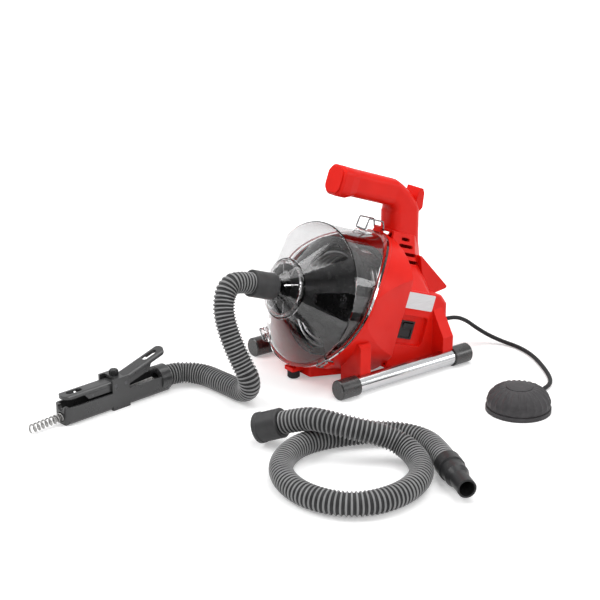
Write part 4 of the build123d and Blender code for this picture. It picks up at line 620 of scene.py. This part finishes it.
def cable_in_drum():
    """Two layers of drain cable wound in the drum."""
    outer = drum_layer("drum_cable_outer", OUTER_LAYER_RADIUS, OUTER_LAYER_START)
    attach(outer, "drum")
    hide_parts("cable_winding")
    inner = drum_layer("drum_cable_inner", INNER_LAYER_RADIUS, INNER_LAYER_START)
    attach(inner, "drum")
    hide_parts("cable_core")


def cable_in_feeder():
    """The close coil of the cable in the feeder and the open coil at its tip."""
    close = wound_wire(
        "feeder_cable_coil", CLOSE_COIL_RADIUS, FEEDER_WIRE, CLOSE_COIL_PITCH, CLOSE_COIL_TURNS,
        cable_place(CLOSE_COIL_START))
    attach(close, "cable")
    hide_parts("feeder_cable")
    tip = wound_wire(
        "cable_tip_coil", TIP_COIL_RADIUS, FEEDER_WIRE, TIP_COIL_PITCH, TIP_COIL_TURNS,
        cable_place(TIP_COIL_START))
    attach(tip, "cable")
    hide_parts("cable_tip")


# Foot switch

def plain_foot_side():
    """The foot switch's side without ribs, drawn up ring by ring along its outline."""
    first_radius, first_height = FOOT_OUTLINE[0]
    bpy.ops.object.select_all(action="DESELECT")
    bpy.ops.mesh.primitive_circle_add(
        vertices=len(FOOT_RIB) * FOOT_RIBS, radius=first_radius, location=(0, 0, first_height))
    side = bpy.context.object
    side.name = "foot_bellows_skin"
    bpy.ops.object.transform_apply(location=True, rotation=True, scale=True)
    bpy.ops.object.mode_set(mode="EDIT")
    for (radius, height), (next_radius, next_height) in zip(FOOT_OUTLINE, FOOT_OUTLINE[1:]):
        bpy.ops.mesh.select_all(action="DESELECT")
        bpy.ops.object.mode_set(mode="OBJECT")
        for vertex in side.data.vertices:
            at_height = abs(vertex.co.z - height) < SAME_PLACE
            vertex.select = at_height and abs(vertex.co.xy.length - radius) < SAME_PLACE
        bpy.ops.object.mode_set(mode="EDIT")
        bpy.ops.mesh.select_mode(type="VERT")
        bpy.ops.mesh.extrude_edges_move(
            TRANSFORM_OT_translate={"value": (0, 0, next_height - height)})
        narrow = next_radius / radius
        bpy.ops.transform.resize(value=(narrow, narrow, 1), center_override=(0, 0, 0))
    bpy.ops.object.mode_set(mode="OBJECT")
    return side


def raise_foot_ribs(side):
    """Lifts the ribs out of the foot switch's side."""
    for vertex in side.data.vertices:
        angle = math.atan2(vertex.co.y, vertex.co.x)
        column = round(angle / (2 * math.pi) * len(FOOT_RIB) * FOOT_RIBS) % len(FOOT_RIB)
        radius = vertex.co.xy.length
        if FOOT_RIBS_INNER < radius < FOOT_RIBS_OUTER:
            fade = min(1.0, (radius - FOOT_FADE_RADIUS) / FOOT_FADE)
            lift = FOOT_RIB_RISE * FOOT_RIB[column] * fade
            outward = Vector((vertex.co.x, vertex.co.y, 0)).normalized()
            outward = outward * radius / FOOT_OUTWARD_RADIUS
            upward = Vector((0, 0, 1 - radius / FOOT_UPWARD_RADIUS))
            vertex.co += (outward + upward).normalized() * lift


def foot_bellows():
    """The ribbed rubber side of the foot switch."""
    side = plain_foot_side()
    raise_foot_ribs(side)
    face_outward(side)
    wall = side.modifiers.new("wall", "SOLIDIFY")
    wall.thickness = FOOT_WALL
    wall.offset = -1
    bpy.ops.object.modifier_apply(modifier="wall")
    smooth = side.modifiers.new("smooth", "SUBSURF")
    smooth.levels = 1
    smooth.render_levels = 1
    bpy.ops.object.modifier_apply(modifier="smooth")
    side.location = FOOT_SWITCH
    bpy.ops.object.transform_apply(location=True, rotation=True, scale=True)
    bpy.ops.object.shade_smooth()
    wear(side, "black_rubber", foot_rubber)
    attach(side, "machine")
    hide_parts("foot_bellows")
    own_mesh(side)


# Finishes of the solid parts, by slot, and then those that differ from their slot's

NODE_FINISH = {
    "red_plastic": ["drum_housing", "left_housing", "right_housing", "handle_end_plug"],
    "clear_plastic": ["front_cover", "nozzle_dome"],
    "black_plastic": [
        "nozzle_bushing", "drum_shell", "drum_front", "rocker_bezel", "rocker", "air_switch",
        "feeder_body", "feeder_front_lever", "feeder_rear_lever", "feeder_knob", "foot_base",
    ],
    "grey_hose": [
        "feed_hose", "feed_hose_cuff", "guide_hose", "guide_hose_cuff", "guide_hose_fitting",
    ],
    "black_rubber": [
        "leg_caps", "nose_bumper", "cord_gland", "foot_bellows", "foot_crown", "air_hose",
    ],
    "chrome_tube": ["leg_tube_left", "leg_tube_right"],
    "steel": [
        "latch_bail_top", "latch_bail_right", "latch_bail_left", "drum_shaft", "gear_clip",
        "shaft_bearings", "motor_pinion", "motor_shaft", "motor_plate", "plate_screws",
        "housing_screws", "feeder_front_roller", "feeder_rear_roller", "feeder_lever_pins",
    ],
    "cable_steel": ["cable_winding", "cable_core", "cable_rod", "feeder_cable", "cable_tip"],
    "gear_plastic": ["drum_gear"],
    "motor_paint": ["motor_can"],
    "label": ["label_plate"],
    "brass_fitting": ["hose_barb", "foot_nipple"],
}
OWN_FINISH = [
    (foot_rubber, ["foot_crown", "foot_base"]),
    (drum_black, ["drum_shell", "drum_front"]),
    (cap_rubber, ["leg_caps"]),
    (cuff_grey, ["feed_hose_cuff", "guide_hose_cuff"]),
    (fitting_black, ["guide_hose_fitting"]),
    (latch_wire, ["latch_bail_top", "latch_bail_right", "latch_bail_left"]),
    (feeder_grey, ["feeder_body", "feeder_front_lever", "feeder_rear_lever"]),
    (dark_steel, [
        "feeder_lever_pins", "feeder_front_roller", "feeder_rear_roller", "housing_screws",
    ]),
]


def finish_nodes():
    """Gives every solid part of the machine its finish."""
    by_slot = [(finishes[slot], names) for slot, names in NODE_FINISH.items()]
    for finish, names in by_slot + OWN_FINISH:
        for name in names:
            coat(nodes[name], finish)


# Stage, light and camera

def worked_out(tree, operation, first, second):
    """The result of one operation on two values."""
    node = tree.nodes.new("ShaderNodeMath")
    node.operation = operation
    tree.links.new(first, node.inputs[0])
    tree.links.new(second, node.inputs[1])
    return node.outputs["Value"]


def mixed(tree, factor, number, value):
    """A number where the factor is 0, and a value where it is 1."""
    node = tree.nodes.new("ShaderNodeMix")
    node.data_type = "FLOAT"
    node.inputs["A"].default_value = number
    tree.links.new(factor, node.inputs["Factor"])
    tree.links.new(value, node.inputs["B"])
    return node.outputs["Result"]


def seen_ray(tree):
    """1 for the rays that show the background, and 0 for those that only light the object."""
    rays = tree.nodes.new("ShaderNodeLightPath").outputs
    either = worked_out(tree, "MAXIMUM", rays["Is Camera Ray"], rays["Is Glossy Ray"])
    return worked_out(tree, "MAXIMUM", either, rays["Is Transmission Ray"])


def white_floor():
    """A white floor that keeps the shadows near the object and is plain white further out."""
    bpy.ops.object.select_all(action="DESELECT")
    bpy.ops.mesh.primitive_plane_add(size=FLOOR_SIZE, location=(0, 0, -FLOOR_DROP))
    floor = bpy.context.object
    floor.name = "studio_floor"
    material, tree, shader = new_finish(
        "studio_floor", Base_Color=(0.86, 0.86, 0.86, 1), Roughness=0.85,
        Specular_IOR_Level=0.1, Emission_Color=(1, 1, 1, 1))
    distance = tree.nodes.new("ShaderNodeVectorMath")
    distance.operation = "LENGTH"
    tree.links.new(surface_place(tree), distance.inputs[0])
    rising = spread(tree, distance.outputs["Value"], low=0.30, high=1.0, start=0.6, end=1.4)
    glow = worked_out(tree, "MULTIPLY", rising, seen_ray(tree))
    tree.links.new(glow, shader.inputs["Emission Strength"])
    floor.data.materials.append(material)


def studio_world():
    """White where it is seen, softer where it lights, with a dim room in front for gloss."""
    world = bpy.data.worlds.new("studio")
    world.use_nodes = True
    tree = world.node_tree
    background = tree.nodes["Background"]
    set_sockets(background, {"Color": (1, 1, 1, 1)})
    coordinates = tree.nodes.new("ShaderNodeTexCoord")
    facing = tree.nodes.new("ShaderNodeVectorMath")
    facing.operation = "DOT_PRODUCT"
    facing.inputs[1].default_value = DIM_ROOM
    tree.links.new(coordinates.outputs["Generated"], facing.inputs[0])
    room = spread(tree, facing.outputs["Value"], low=1.0, high=0.05, start=0.35, end=0.85)
    rays = tree.nodes.new("ShaderNodeLightPath").outputs
    reflected = mixed(tree, rays["Is Glossy Ray"], 1.0, room)
    strength = mixed(tree, seen_ray(tree), WORLD_LIGHT, reflected)
    tree.links.new(strength, background.inputs["Strength"])
    bpy.context.scene.world = world


def soft_lamp(name, place, target, size, power):
    """A square soft lamp turned to a place."""
    lamp = bpy.data.lights.new(name, "AREA")
    lamp.size = size
    lamp.energy = power
    lamp_object = bpy.data.objects.new(name, lamp)
    lamp_object.location = place
    aim = Vector(target) - Vector(place)
    lamp_object.rotation_euler = aim.to_track_quat("-Z", "Y").to_euler()
    bpy.context.scene.collection.objects.link(lamp_object)


def photo_camera():
    """The camera at the photograph's angle and distance."""
    level = math.cos(CAMERA_ELEVATION)
    right = Vector((math.cos(CAMERA_AZIMUTH), math.sin(CAMERA_AZIMUTH), 0))
    back = Vector((
        math.sin(CAMERA_AZIMUTH) * level,
        -math.cos(CAMERA_AZIMUTH) * level,
        math.sin(CAMERA_ELEVATION),
    ))
    up = back.cross(right)
    target = right * TARGET_RIGHT + up * TARGET_UP - SOURCE_SHIFT
    camera = bpy.data.cameras.new("photo_camera")
    camera.sensor_width = SENSOR_MM
    camera.lens = FOCAL_PIXELS / PICTURE_PIXELS * SENSOR_MM
    camera.clip_start = 0.05
    camera.clip_end = 60
    camera_object = bpy.data.objects.new("photo_camera", camera)
    turn = Matrix((right, up, back)).transposed().to_4x4()
    camera_object.matrix_world = Matrix.Translation(target + back * CAMERA_DISTANCE) @ turn
    bpy.context.scene.collection.objects.link(camera_object)
    bpy.context.scene.camera = camera_object


photo_camera()
finish_nodes()
feed_hose()
guide_hose()
air_hose()
cable_in_drum()
cable_in_feeder()
foot_bellows()
white_floor()
studio_world()
for lamp_values in LAMPS:
    soft_lamp(*lamp_values)
bpy.context.scene.view_settings.view_transform = "Standard"
